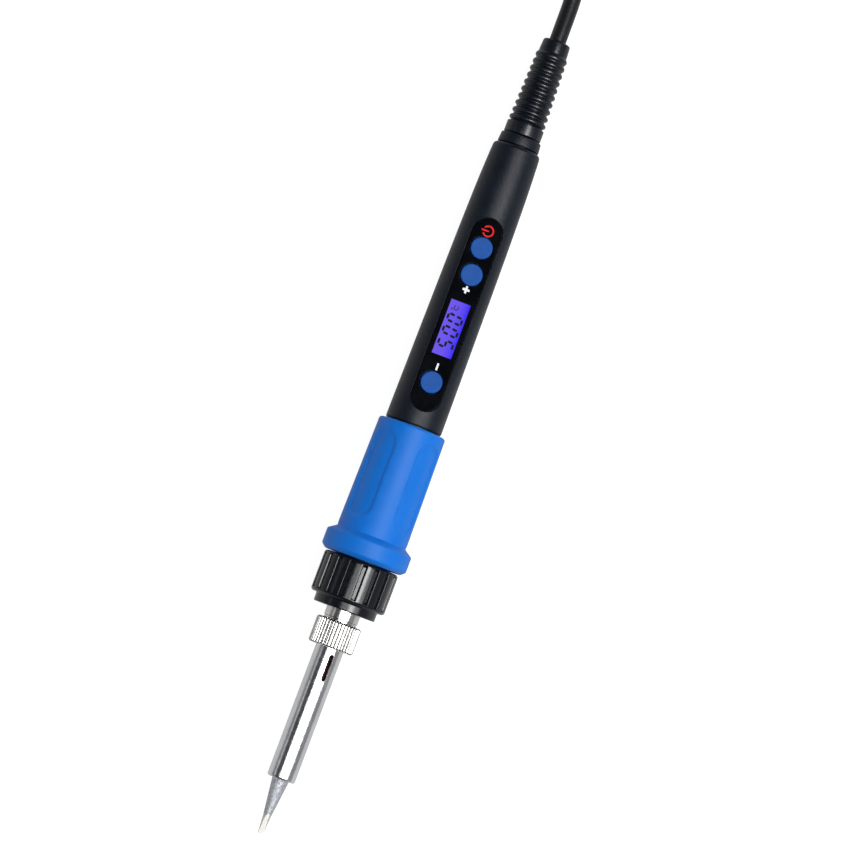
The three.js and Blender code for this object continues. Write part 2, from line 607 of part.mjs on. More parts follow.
// The tie closes round the hank and rises over the tail.
function tieGeometry() {
  const inside = HANK.waist / 2 + 2 * GAP;
  const outside = inside + TIE.thickness;
  const top = HANK.height + GAP;
  const tailTop = top + 2 * CORD.radius + GAP;
  const [outsideHigh, outsideLow] = TIE.outsideStep;
  const [insideHigh, insideLow] = TIE.insideStep;
  const shape = outlineShape([
    [-outside, 0], [outside, 0], [outside, top + TIE.thickness], [outsideLow, top + TIE.thickness],
    [outsideHigh, tailTop + TIE.thickness], [-outside, tailTop + TIE.thickness],
  ]);
  shape.holes.push(outlineShape([
    [-inside, TIE.thickness], [-inside, tailTop], [insideHigh, tailTop], [insideLow, top], [inside, top],
    [inside, TIE.thickness],
  ]));
  const geometry = new THREE.ExtrudeGeometry(shape, { depth: TIE.width, bevelEnabled: false });
  return geometry.rotateX(Math.PI / 2).translate(0, tieStation() + TIE.width / 2, 0);
}

function plugBodyGeometry() {
  const plug = PLUG;
  const front = plug.back - plug.length;
  const middle = plug.bottom + plug.thickness / 2;
  const [frontHalf, backHalf, round] = [plug.frontWidth / 2, plug.backWidth / 2, plug.backRound];
  const shape = outlineShape([
    [-frontHalf, front], [frontHalf, front], [frontHalf, front + plug.frontLength],
    [backHalf, plug.back - round], [backHalf - round, plug.back], [-backHalf + round, plug.back],
    [-backHalf, plug.back - round], [-frontHalf, front + plug.frontLength],
  ]);
  const body = new THREE.ExtrudeGeometry(shape, { depth: plug.thickness, bevelEnabled: false });
  body.translate(plug.x, 0, plug.bottom);
  const relief = turned([
    [plug.back - 1, 0], [plug.back - 1, plug.reliefRadius], [plug.back + plug.reliefLength, plug.reliefEndRadius],
    [plug.back + plug.reliefLength, 0],
  ], 16).translate(plug.x, 0, middle);
  return surface(solid(body).add(solid(relief)));
}

function plugBladeGeometry(side) {
  const plug = PLUG;
  const x = plug.x + (side * plug.bladeSpacing) / 2;
  const front = plug.back - plug.length;
  const middle = plug.bottom + plug.thickness / 2;
  return block(
    [x - plug.bladeThickness / 2, front - plug.bladeLength, middle - plug.bladeWidth / 2],
    [x + plug.bladeThickness / 2, front - GAP, middle + plug.bladeWidth / 2],
  );
}

// ---- Assembly ---------------------------------------------------------------------------------------

addPiece(tool, "soldering_tip", tipGeometry(), tinnedCopper);
addPiece(tool, "heater_rod", heaterRodGeometry(), ceramic);
addPiece(tool, "heater_flange", heaterFlangeGeometry(), ceramic);
addPiece(tool, "barrel_tube", barrelGeometry(), chrome);
addPiece(tool, "knurled_nut", knurledNutGeometry(), nickel);
addPiece(tool, "neck_bush", neckGeometry(), nickel);
addPiece(tool, "ribbed_nut", ribbedNutGeometry(), blackPlastic);
addPiece(tool, "grip_sleeve", gripGeometry(), blueRubber);
addPiece(tool, "upper_shell", upperShellGeometry(), handlePlastic);
addPiece(tool, "lower_shell", lowerShellGeometry(), handlePlastic);
addPiece(tool, "rear_collar", collarGeometry(), handlePlastic);
addPiece(tool, "strain_relief_boot", bootGeometry(), bootRubber);

addPiece(panelFrame, "display_panel", panelGeometry(), panelGloss);
addPiece(panelFrame, "display_window", windowGeometry(), clearWindow);
addPiece(panelFrame, "lcd_glass", lcdGeometry(), liquidCrystal);
addPiece(panelFrame, "lcd_backlight", backlightGeometry(), lightGuide);
for (const [name, station] of Object.entries(BUTTON.stations)) {
  const y = boardStation(station);
  addPiece(panelFrame, `${name}_button`, buttonGeometry(y), buttonBlue);
  addPiece(panelFrame, `${name}_switch`, switchGeometry(y), componentBlack);
}
addPiece(panelFrame, "control_board", boardGeometry(), boardGreen);
for (const [name, station] of Object.entries(BOARD_SCREW.stations)) {
  addPiece(panelFrame, `board_screw_${name}`, boardScrewGeometry(boardStation(station)), nickel);
}
for (const [name, part] of Object.entries(UNDER_BOARD)) {
  addPiece(panelFrame, name, underBoardBlock(part), part.material);
}
for (const [name, part] of Object.entries(UNDER_BOARD_ROUND)) {
  addPiece(panelFrame, name, underBoardRound(part), part.material);
}
for (const wire of HEATER_WIRES) {
  addPiece(tool, wire.name, heaterWireGeometry(wire), wire.material);
}
addPiece(tool, "live_wire", mainsWireGeometry(1), wireBrown);
addPiece(tool, "neutral_wire", mainsWireGeometry(-1), wireBlue);
addPiece(tool, "cord_end", turned([
  [CORD.innerFront, 0], [CORD.innerFront, CORD.radius], [BOOT.rear, CORD.radius], [BOOT.rear, 0],
], 12), cordSheath);

// The tool rests on the grip's flange and on the rear of the handle, so its axis slopes down to the cord.
tool.rotation.x = -Math.atan2(GRIP.flangeRadius - HANDLE_REST.radius, HANDLE_REST.station - GRIP.flangeRear);
tool.updateMatrixWorld(true);
const extent = new THREE.Box3().setFromObject(tool, true);
tool.position.set(0, -(extent.min.y + extent.max.y) / 2, -extent.min.z);

addPiece(iron, "cord_lead", cable(LEAD_ROUTE, CORD.radius, 10, 22), cordSheath);
addPiece(iron, "cord_hank", hankGeometry(), cordSheath);
addPiece(iron, "cord_tail", cable(TAIL_ROUTE, CORD.radius, 8, 50), cordSheath);
addPiece(iron, "cord_tie", tieGeometry(), bootRubber);
addPiece(iron, "plug_body", plugBodyGeometry(), bootRubber);
addPiece(iron, "plug_blade_left", plugBladeGeometry(-1), brassBlade);
addPiece(iron, "plug_blade_right", plugBladeGeometry(1), brassBlade);

export default iron;
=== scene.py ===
# Soldering iron with a display in its handle: the looks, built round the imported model.
import json
import math

import bmesh
import bpy
import numpy as np
from mathutils import Matrix, Vector


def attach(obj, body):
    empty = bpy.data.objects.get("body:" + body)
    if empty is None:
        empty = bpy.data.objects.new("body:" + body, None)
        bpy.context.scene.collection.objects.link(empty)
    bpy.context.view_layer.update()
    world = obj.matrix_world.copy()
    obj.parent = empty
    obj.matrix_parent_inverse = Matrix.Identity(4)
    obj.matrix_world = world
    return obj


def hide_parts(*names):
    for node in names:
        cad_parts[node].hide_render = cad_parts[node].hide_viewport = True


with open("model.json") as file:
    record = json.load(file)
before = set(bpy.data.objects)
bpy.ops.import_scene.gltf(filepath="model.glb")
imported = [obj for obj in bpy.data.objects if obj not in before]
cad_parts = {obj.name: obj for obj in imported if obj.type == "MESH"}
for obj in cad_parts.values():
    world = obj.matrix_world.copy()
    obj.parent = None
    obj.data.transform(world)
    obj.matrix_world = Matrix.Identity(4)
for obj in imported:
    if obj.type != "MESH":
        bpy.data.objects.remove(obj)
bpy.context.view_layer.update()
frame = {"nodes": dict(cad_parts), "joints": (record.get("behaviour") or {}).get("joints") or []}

MM = 0.001
TAU = 2 * math.pi

# ---- The tool's own frame ----
# A station is the distance in millimetres along the tool's axis from the end of the tip.


def frame_of(x_axis, y_axis, z_axis, origin):
    """The matrix from millimetres along three unit axes, from an origin in metres, to the object's frame."""
    rows = [(x * MM, y * MM, z * MM, start) for x, y, z, start in zip(x_axis, y_axis, z_axis, origin)]
    return Matrix(rows + [(0, 0, 0, 1)])


joints = {joint["name"]: joint for joint in frame["joints"]}
AXIS = Vector(joints["front_nut_turn"]["axis"]).normalized()
SIDE = Vector((1, 0, 0))
UP = SIDE.cross(AXIS).normalized()
NUT_TURN_STATION = 77.0
TIP_END = Vector(joints["front_nut_turn"]["pos_m"]) - AXIS * NUT_TURN_STATION * MM
TOOL = frame_of(SIDE, AXIS, UP, TIP_END)

# The face panel's frame: origin on its top face, +Z out of it.
PANEL_STATION = 159.85
PANEL_HEIGHT = 6.82
PANEL_OUT = -Vector(joints["power_button_press"]["axis"]).normalized()
PANEL_ALONG = PANEL_OUT.cross(SIDE).normalized()
PANEL = frame_of(SIDE, PANEL_ALONG, PANEL_OUT, TOOL @ Vector((0, PANEL_STATION, PANEL_HEIGHT)))


def tool_point(x, station, z):
    return TOOL @ Vector((x, station, z))


# ---- Camera ----

FOCUS = (3.1, 127.2, 0)  # the middle of the view, in the tool's frame
CAMERA_DISTANCE = 1.275
CAMERA_PITCH = math.radians(3.2)  # towards the tip
CAMERA_LEAN = math.radians(-4.0)  # towards the left of the panel
CAMERA_ROLL = math.radians(20.57)
VIEW_WIDTH = 0.2464
SENSOR_WIDTH = 36


def add_camera():
    back = (UP * math.cos(CAMERA_PITCH) * math.cos(CAMERA_LEAN)
            - AXIS * math.sin(CAMERA_PITCH) + SIDE * math.sin(CAMERA_LEAN)).normalized()
    focus = tool_point(*FOCUS)
    upward = (AXIS - back * AXIS.dot(back)).normalized()
    right = upward.cross(back)
    turned_up = upward * math.cos(CAMERA_ROLL) - right * math.sin(CAMERA_ROLL)
    turned_right = turned_up.cross(back)
    camera = bpy.data.objects.new("camera", bpy.data.cameras.new("camera"))
    camera.data.sensor_width = SENSOR_WIDTH
    camera.data.lens = SENSOR_WIDTH * CAMERA_DISTANCE / VIEW_WIDTH
    camera.data.clip_start = 0.05
    camera.data.clip_end = 20
    place = Matrix((turned_right, turned_up, back)).transposed().to_4x4()
    place.translation = focus + back * CAMERA_DISTANCE
    camera.matrix_world = place
    bpy.context.scene.collection.objects.link(camera)
    bpy.context.scene.camera = camera


add_camera()

# ---- Node materials ----

NOISE_LOW, NOISE_HIGH = 0.3, 0.7  # noise seldom leaves this range


class NodeTree:
    """Short ways to add nodes to a material or to the world."""

    def __init__(self, owner):
        owner.use_nodes = True
        self.tree = owner.node_tree
        self.nodes = self.tree.nodes

    def node(self, kind, inputs=None, **settings):
        node = self.nodes.new(kind)
        for key, value in settings.items():
            setattr(node, key, value)
        for key, value in (inputs or {}).items():
            node.inputs[key].default_value = value
        return node

    def link(self, source, target):
        self.tree.links.new(source, target)

    def ramp(self, source, stops):
        """Maps a value to colours: stops of (position, colour)."""
        ramp = self.node("ShaderNodeValToRGB")
        elements = ramp.color_ramp.elements
        while len(elements) < len(stops):
            elements.new(0.5)
        for element, (position, color) in zip(elements, stops):
            element.position = position
            element.color = (*color, 1)
        self.link(source, ramp.inputs["Fac"])
        return ramp.outputs["Color"]

    def spread(self, source, low, high, start=NOISE_LOW, end=NOISE_HIGH):
        """Maps a value between start and end to a value between low and high."""
        mapped = self.node("ShaderNodeMapRange", {"From Min": start, "From Max": end, "To Min": low, "To Max": high})
        self.link(source, mapped.inputs["Value"])
        return mapped.outputs["Result"]


class Surface(NodeTree):
    """A procedural material. Its settings are the values that hold all over it."""

    def __init__(self, name, settings=None):
        self.material = bpy.data.materials.new(name)
        super().__init__(self.material)
        self.shader = self.nodes["Principled BSDF"]
        for socket, value in (settings or {}).items():
            self.shader.inputs[socket].default_value = value

    def place(self):
        return self.node("ShaderNodeTexCoord").outputs["Object"]

    def noise(self, scale, detail=4, roughness=0.6, stretch=(1, 1, 1)):
        """Noise over the object's own space, in units of one over a metre."""
        mapping = self.node("ShaderNodeMapping", {"Scale": stretch})
        self.link(self.place(), mapping.inputs["Vector"])
        noise = self.node("ShaderNodeTexNoise", {"Scale": scale, "Detail": detail, "Roughness": roughness})
        self.link(mapping.outputs["Vector"], noise.inputs["Vector"])
        return noise.outputs["Fac"]

    def station(self):
        """The distance from the end of the tip, in millimetres."""
        along = self.node("ShaderNodeVectorMath", {1: AXIS / MM}, operation="DOT_PRODUCT")
        self.link(self.place(), along.inputs[0])
        offset = self.node("ShaderNodeMath", {1: TIP_END.dot(AXIS) / MM}, operation="SUBTRACT")
        self.link(along.outputs["Value"], offset.inputs[0])
        return offset.outputs[0]

    def drift(self, scale, dark, light, smooth, rough, stretch=(1, 1, 1)):
        """A slow change of colour and roughness."""
        noise = self.noise(scale, stretch=stretch)
        self.link(self.ramp(noise, [(NOISE_LOW, dark), (NOISE_HIGH, light)]), self.shader.inputs["Base Color"])
        self.link(self.spread(noise, smooth, rough), self.shader.inputs["Roughness"])

    def bump(self, source, depth, strength):
        """Relief from a value, its full depth in metres."""
        bump = self.node("ShaderNodeBump", {"Distance": depth, "Strength": strength})
        self.link(source, bump.inputs["Height"])
        self.link(bump.outputs["Normal"], self.shader.inputs["Normal"])

    def relief(self, scale, detail, roughness, depth, strength, stretch=(1, 1, 1)):
        self.bump(self.noise(scale, detail, roughness, stretch), depth, strength)


# ---- Mesh helpers ----

SMOOTH_ANGLE = 35  # edges that turn by less are shaded smooth
MERGE_DISTANCE = 1e-7
TINY = 1e-6


def add_object(name, points, faces, matrix, smooth_angle=SMOOTH_ANGLE):
    """A mesh object from points in millimetres in the given frame."""
    mesh = bpy.data.meshes.new(name)
    mesh.from_pydata([matrix @ Vector(p) for p in points], [], faces)
    mesh.validate()
    return add_mesh(name, mesh, smooth_angle)


def add_mesh(name, mesh, smooth_angle=SMOOTH_ANGLE):
    """A mesh object whose faces point outwards and whose edges are smooth below an angle."""
    shape = bmesh.new()
    shape.from_mesh(mesh)
    bmesh.ops.remove_doubles(shape, verts=shape.verts, dist=MERGE_DISTANCE)
    bmesh.ops.recalc_face_normals(shape, faces=shape.faces)
    shape.to_mesh(mesh)
    shape.free()
    mesh.shade_smooth()
    mesh.set_sharp_from_angle(angle=math.radians(smooth_angle))
    piece = bpy.data.objects.new(name, mesh)
    bpy.context.scene.collection.objects.link(piece)
    return piece


def finish_piece(piece, surface, body, slot, *nodes):
    """Gives a piece its material and body, and hides the model nodes that it stands for. The slot is not used."""
    piece.data.materials.clear()
    piece.data.materials.append(surface.material)
    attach(piece, body)
    if nodes:
        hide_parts(*nodes)
    return piece


def rounded(corners, arc_steps=6):
    """An outline of (station, radius, rounding) corners with each corner made an arc."""
    outline = []
    for i, (station, radius, rounding) in enumerate(corners):
        here = np.array((station, radius), float)
        if rounding <= 0 or i in (0, len(corners) - 1):
            outline.append(tuple(here))
            continue
        before = np.array(corners[i - 1][:2], float) - here
        after = np.array(corners[i + 1][:2], float) - here
        length_before, length_after = np.linalg.norm(before), np.linalg.norm(after)
        before, after = before / length_before, after / length_after
        half = math.acos(max(-1, min(1, float(before @ after)))) / 2
        if half > math.radians(89.5):
            outline.append(tuple(here))
            continue
        reach = min(rounding / math.tan(half), 0.49 * length_before, 0.49 * length_after)
        radius_used = reach * math.tan(half)
        middle = here + (before + after) / np.linalg.norm(before + after) * (radius_used / math.sin(half))
        first, last = here + before * reach - middle, here + after * reach - middle
        sweep = math.pi - 2 * half
        turn = math.copysign(1, first[0] * last[1] - first[1] * last[0])
        for k in range(arc_steps + 1):
            angle = turn * sweep * k / arc_steps
            c, s = math.cos(angle), math.sin(angle)
            outline.append((middle[0] + c * first[0] - s * first[1], middle[1] + s * first[0] + c * first[1]))
    return outline


def refined(outline, step):
    """The outline with points no further apart than a step."""
    fine = [outline[0]]
    for (s0, r0), (s1, r1) in zip(outline, outline[1:]):
        count = max(1, math.ceil(math.hypot(s1 - s0, r1 - r0) / step))
        fine += [(s0 + (s1 - s0) * k / count, r0 + (r1 - r0) * k / count) for k in range(1, count + 1)]
    return fine


def revolved(name, outline, sides, closed=False, shape=None, matrix=TOOL, start=0.0, end=TAU, smooth_angle=SMOOTH_ANGLE,
             angles=None):
    """Turns an outline of (station, radius) about the axis. It runs towards the cord on the outside.

    shape(station, radius, angle) may give the radius at an angle, which is 0 at the panel's side and
    grows towards +X. A closed outline joins its last point to its first; an open one ends on the axis.
    Chosen angles may take the place of even sides.
    """
    full = abs(end - start - TAU) < TINY
    angles = angles or [start + (end - start) * i / sides for i in range(sides if full else sides + 1)]
    columns = len(angles)
    sides = columns if full else columns - 1
    points, faces, rows = [], [], []
    for station, radius in outline:
        if radius < TINY:
            rows.append([len(points)] * columns)
            points.append((0, station, 0))
            continue
        row = []
        for angle in angles:
            r = shape(station, radius, angle) if shape else radius
            row.append(len(points))
            points.append((r * math.sin(angle), station, r * math.cos(angle)))
        rows.append(row)
    pairs = list(zip(rows, rows[1:])) + ([(rows[-1], rows[0])] if closed else [])
    for low, high in pairs:
        for i in range(sides):
            j = (i + 1) % columns if full else i + 1
            face = [low[i], low[j], high[j], high[i]]
            face = [p for k, p in enumerate(face) if p != face[k - 1]]
            if len(face) >= 3:
                faces.append(face)
    if not full:
        for column in (0, -1):
            rim = [row[column] for row in rows]
            faces.append(rim if column == -1 else rim[::-1])
    return add_object(name, points, faces, matrix, smooth_angle)


def smoothstep(value, low, high):
    t = max(0.0, min(1.0, (value - low) / (high - low)))
    return t * t * (3 - 2 * t)


def cut_away(piece, cutter):
    """Cuts one mesh from another for good, and removes the cutter."""
    modifier = piece.modifiers.new("cut", "BOOLEAN")
    modifier.operation = "DIFFERENCE"
    modifier.solver = "EXACT"
    modifier.object = cutter
    bpy.context.view_layer.update()
    graph = bpy.context.evaluated_depsgraph_get()
    mesh = bpy.data.meshes.new_from_object(piece.evaluated_get(graph))
    piece.modifiers.clear()
    piece.data = mesh
    bpy.data.objects.remove(cutter)


def soften_round(piece, matrix, limit=0.9, steepest=0.2):
    """Makes the shading of a turned mesh follow its axis exactly, where cutting has left long faces."""
    mesh = piece.data
    axis = (matrix.to_3x3() @ Vector((0, 1, 0))).normalized()
    origin = matrix.translation
    mesh.shade_smooth()
    mesh.set_sharp_from_angle(angle=math.radians(SMOOTH_ANGLE))
    normals = [Vector(n.vector) for n in mesh.corner_normals]
    for polygon in mesh.polygons:
        for loop in polygon.loop_indices:
            out = mesh.vertices[mesh.loops[loop].vertex_index].co - origin
            out -= axis * out.dot(axis)
            if out.length < TINY:
                continue
            out.normalize()
            along = polygon.normal.dot(axis)
            outward = math.sqrt(max(0, 1 - along * along))
            if polygon.normal.dot(out) > limit * outward and abs(along) < steepest:
                normals[loop] = (out * outward + axis * along).normalized()
    mesh.normals_split_custom_set(normals)


# ---- Flat outlines ----


def stadium(width, length, steps=24):
    """A plate outline with round ends along Y."""
    radius, reach = width / 2, length / 2 - width / 2
    turns = [math.pi * i / steps for i in range(steps + 1)]
    end = [(radius * math.cos(turn), reach + radius * math.sin(turn)) for turn in turns]
    return end + [(-x, -y) for x, y in end]


def circle(x, y, radius, steps=48):
    return [(x + radius * math.cos(TAU * i / steps), y + radius * math.sin(TAU * i / steps)) for i in range(steps)]


def rounded_loop(corners, rounding, arc_steps=6):
    """A closed outline through corners, each made an arc."""
    (x0, y0), (x1, y1) = corners[-1], corners[0]
    seam = ((x0 + x1) / 2, (y0 + y1) / 2, 0)
    return rounded([seam] + [(x, y, rounding) for x, y in corners] + [seam], arc_steps)[:-1]


def stroke(points, width, steps=8):
    """The outline of a pen line with round ends through the points."""
    line = [Vector(p) for p in points]
    half = width / 2
    left, right = [], []
    for i, point in enumerate(line):
        along = (line[min(i + 1, len(line) - 1)] - line[max(i - 1, 0)]).normalized()
        across = Vector((-along.y, along.x)) * half
        left.append(point + across)
        right.append(point - across)
    ends = []
    for point, towards in ((line[-1], line[-1] - line[-2]), (line[0], line[0] - line[1])):
        heading = math.atan2(towards.y, towards.x)
        turns = [heading - math.pi / 2 + math.pi * k / steps for k in range(1, steps)]
        ends.append([point + Vector((math.cos(t), math.sin(t))) * half for t in turns])
    return [tuple(p) for p in right + ends[0] + left[::-1] + ends[1]]


def arc_line(x, y, radius, start, end, steps=28):
    """Points along an arc, its angles in degrees."""
    turns = [math.radians(start + (end - start) * i / steps) for i in range(steps + 1)]
    return [(x + radius * math.cos(turn), y + radius * math.sin(turn)) for turn in turns]


def flatten_caps(piece, matrix, flat_limit=0.999, bevel_limit=0.75):
    """Makes the shading of a plate's flat faces truly flat, so that its bevels alone are round.

    The limits are cosines: of a flat face to the frame's Z, and of the bevel faces that meet it smoothly.
    """
    mesh = piece.data
    out = (matrix.to_3x3() @ Vector((0, 0, 1))).normalized()
    normals = [Vector(n.vector) for n in mesh.corner_normals]
    flat = {}
    for polygon in mesh.polygons:
        if abs(polygon.normal.dot(out)) > flat_limit:
            flat.update({mesh.loops[loop].vertex_index: polygon.normal.copy() for loop in polygon.loop_indices})
    for polygon in mesh.polygons:
        for loop in polygon.loop_indices:
            cap = flat.get(mesh.loops[loop].vertex_index)
            if cap is not None and polygon.normal.dot(cap) > bevel_limit:
                normals[loop] = cap
    mesh.normals_split_custom_set(normals)
    return piece


def plate(name, outlines, bottom, top, matrix, bevel=0.0, smooth_angle=SMOOTH_ANGLE):
    """A flat piece with holes. Its bevel stands out from the outlines."""
    curve = bpy.data.curves.new(name, "CURVE")
    curve.dimensions = "2D"
    curve.fill_mode = "BOTH"
    curve.extrude = (top - bottom) / 2 - bevel
    curve.bevel_depth = bevel
    curve.bevel_resolution = 2
    for outline in outlines:
        spline = curve.splines.new("POLY")
        spline.points.add(len(outline) - 1)
        for point, (x, y) in zip(spline.points, outline):
            point.co = (x, y, 0, 1)
        spline.use_cyclic_u = True
    maker = bpy.data.objects.new(name, curve)
    mesh = bpy.data.meshes.new_from_object(maker)
    bpy.data.objects.remove(maker)
    bpy.data.curves.remove(curve)
    mesh.transform(matrix @ Matrix.Translation((0, 0, (bottom + top) / 2)))
    return flatten_caps(add_mesh(name, mesh, smooth_angle), matrix)


def lofted(name, rings, matrix, smooth_angle=SMOOTH_ANGLE):
    """A closed skin over rings of points in millimetres, each ring with the same count."""
    count = len(rings[0])
    points = [point for ring in rings for point in ring]
    faces = [list(range(count)), list(range(len(points) - count, len(points)))]
    for level in range(len(rings) - 1):
        for i in range(count):
            low, high = level * count, (level + 1) * count
            j = (i + 1) % count
            faces.append([low + i, low + j, high + j, high + i])
    return add_object(name, points, faces, matrix, smooth_angle)


# ---- Surfaces ----

# Each row has the surface's drift (noise scale, dark colour, light colour, roughness from and to), its relief
# (noise scale, detail, noise roughness, depth in metres, strength) and its settings.
LOOKS = {
    "iron plating": ((1500, (0.36, 0.38, 0.42), (0.74, 0.76, 0.80), 0.3, 0.48),
                     (1500, 6, 0.75, 0.0003, 0.9), {"Metallic": 0.75}),
    "tinned end": ((900, (0.80, 0.79, 0.75), (0.93, 0.92, 0.88), 0.4, 0.52),
                   (700, 2, 0.6, 0.00002, 0.5), {"Metallic": 0.9}),
    "chrome plate": ((320, (0.72, 0.73, 0.75), (0.88, 0.89, 0.90), 0.08, 0.17, (1, 0.4, 1)),
                     (1100, 5, 0.7, 0.00006, 0.8), {"Metallic": 1.0}),
    "nickel plate": ((500, (0.65, 0.64, 0.62), (0.79, 0.78, 0.76), 0.12, 0.24),
                     (3000, 4, 0.6, 0.00001, 0.6), {"Metallic": 1.0}),
    # Darker nickel for the knurl grooves: painted shade, with some grime.
    "nickel with painted groove shade": ((700, (0.16, 0.155, 0.15), (0.25, 0.245, 0.24), 0.32, 0.5),
                      (3000, 4, 0.6, 0.00002, 0.6), {"Metallic": 0.9}),
    "unglazed ceramic": ((900, (0.78, 0.75, 0.69), (0.9, 0.88, 0.84), 0.5, 0.7),
                         (5000, 5, 0.6, 0.00003, 0.6), {}),
    "glossy black moulding": ((420, (0.0024, 0.0037, 0.0062), (0.0038, 0.0054, 0.0085), 0.16, 0.25),
                              (2200, 5, 0.6, 0.00002, 0.7), {}),
    "satin blue-black moulding": ((240, (0.0020, 0.0050, 0.0110), (0.0032, 0.0074, 0.0146), 0.31, 0.41),
                                  (4200, 6, 0.7, 0.00009, 0.9), {"Specular IOR Level": 0.31}),
    "blue silicone rubber": ((130, (0.002, 0.142, 0.575), (0.004, 0.158, 0.625), 0.43, 0.52),
                             (2600, 6, 0.7, 0.00005, 0.7), {"Specular IOR Level": 0.22}),
    "soft black rubber": ((380, (0.0018, 0.0038, 0.0076), (0.0034, 0.0060, 0.0108), 0.23, 0.33),
                          (3200, 5, 0.6, 0.00004, 0.7), {}),
    "cord sheath": ((900, (0.003, 0.0035, 0.005), (0.006, 0.0065, 0.008), 0.33, 0.45),
                    (2500, 4, 0.6, 0.00003, 0.6), {}),
    "woven strap": ((1200, (0.007, 0.007, 0.009), (0.022, 0.022, 0.026), 0.65, 0.85), None, {}),
    "plug moulding": ((300, (0.009, 0.009, 0.011), (0.017, 0.017, 0.020), 0.32, 0.46),
                      (3500, 6, 0.6, 0.00005, 0.8), {}),
    "bright brass": ((350, (0.68, 0.50, 0.22), (0.86, 0.69, 0.40), 0.18, 0.34, (1, 0.3, 1)),
                     (2500, 4, 0.6, 0.00001, 0.6, (1, 0.2, 1)), {"Metallic": 1.0}),
    "gloss face plate": ((150, (0.0010, 0.0013, 0.0024), (0.0017, 0.0021, 0.0034), 0.08, 0.14),
                         None, {"Specular IOR Level": 0.08}),
    "pale floor": ((3, (0.195, 0.195, 0.195), (0.205, 0.205, 0.205), 0.65, 0.75),
                   None, {"Specular IOR Level": 0.1, "Emission Color": (1, 1, 1, 1)}),
}


def look(name):
    """A surface with one of the looks above."""
    drift, relief, settings = LOOKS[name]
    surface = Surface(name, settings)
    surface.drift(*drift)
    if relief:
        surface.relief(*relief)
    return surface


SCORCH_FRONT, SCORCH_REAR = 58, 70


def scorched_ceramic():
    """Browned by heat as far as the barrel covers it."""
    surface = look("unglazed ceramic")
    heat = surface.ramp(surface.spread(surface.station(), 0, 1, SCORCH_FRONT, SCORCH_REAR), [
        (0.0, (0.055, 0.022, 0.016)), (0.6, (0.3, 0.2, 0.14)), (1.0, (0.85, 0.83, 0.78)),
    ])
    surface.link(heat, surface.shader.inputs["Base Color"])
    return surface


def woven_strap():
    surface = look("woven strap")
    weave = surface.node("ShaderNodeTexWave", {"Scale": 420, "Distortion": 1.5}, bands_direction="DIAGONAL")
    surface.link(surface.place(), weave.inputs["Vector"])
    surface.bump(weave.outputs["Fac"], 0.0002, 0.8)
    return surface


def clear_window():
    surface = Surface("clear window", {"Base Color": (0.01, 0.01, 0.02, 1), "Alpha": 0.08, "Specular IOR Level": 0.1})
    surface.link(surface.spread(surface.noise(400), 0.03, 0.08), surface.shader.inputs["Roughness"])
    return surface


SCREEN_HALF_WIDTH = 3.1
SCREEN_CLOUD = 0.16  # how much noise bends the change of colour


def lit_display():
    """Violet on the left of the screen, blue on the right."""
    surface = Surface("lit display", {"Base Color": (0.01, 0.008, 0.05, 1), "Roughness": 0.5,
                                      "Specular IOR Level": 0.0, "Emission Strength": 1.0})
    place = surface.node("ShaderNodeSeparateXYZ")
    surface.link(surface.place(), place.inputs["Vector"])
    across = surface.spread(place.outputs["X"], 0, 1, -SCREEN_HALF_WIDTH * MM, SCREEN_HALF_WIDTH * MM)
    cloud = surface.node("ShaderNodeMath", {1: SCREEN_CLOUD}, operation="MULTIPLY_ADD")
    surface.link(surface.noise(500), cloud.inputs[0])
    surface.link(across, cloud.inputs[2])
    glow = surface.ramp(cloud.outputs[0], [(0.05, (0.195, 0.115, 0.93)), (0.6, (0.165, 0.100, 0.96)),
                                           (0.9, (0.100, 0.062, 1.0)), (1.0, (0.060, 0.040, 1.0))])
    surface.link(glow, surface.shader.inputs["Emission Color"])
    return surface


def tint(color, share):
    return tuple(min(1, part * share) for part in color)


def printed(name, color, glow=0.0):
    """Ink, with a little glow: on the screen it is the backlight showing through, on the face plate it is painted
    light.
    """
    surface = Surface(name, {"Specular IOR Level": 0.1, "Emission Color": (*color, 1), "Emission Strength": glow})
    surface.drift(2500, tint(color, 0.9), tint(color, 1.08), 0.35, 0.5)
    return surface


def satin_plastic(name, color, roughness, scale=600, specular=0.5):
    surface = Surface(name, {"Specular IOR Level": specular})
    surface.drift(scale, tint(color, 0.86), tint(color, 1.12), roughness - 0.05, roughness + 0.07)
    surface.relief(scale * 5, 5, 0.6, 0.00002, 0.7)
    return surface


def circuit_board():
    """Green resist with slightly raised tracks under it."""
    surface = Surface("green solder resist", {"Roughness": 0.3})
    tracks = surface.node("ShaderNodeTexBrick", {
        "Scale": 260, "Mortar Size": 0.012, "Brick Width": 0.9, "Row Height": 0.35,
        "Color1": (0.008, 0.085, 0.026, 1), "Color2": (0.014, 0.13, 0.042, 1), "Mortar": (0.05, 0.24, 0.09, 1),
    })
    surface.link(surface.place(), tracks.inputs["Vector"])
    surface.link(tracks.outputs["Color"], surface.shader.inputs["Base Color"])
    surface.bump(tracks.outputs["Fac"], 0.00004, 0.8)
    return surface


# ---- Tip, heater and barrel ----

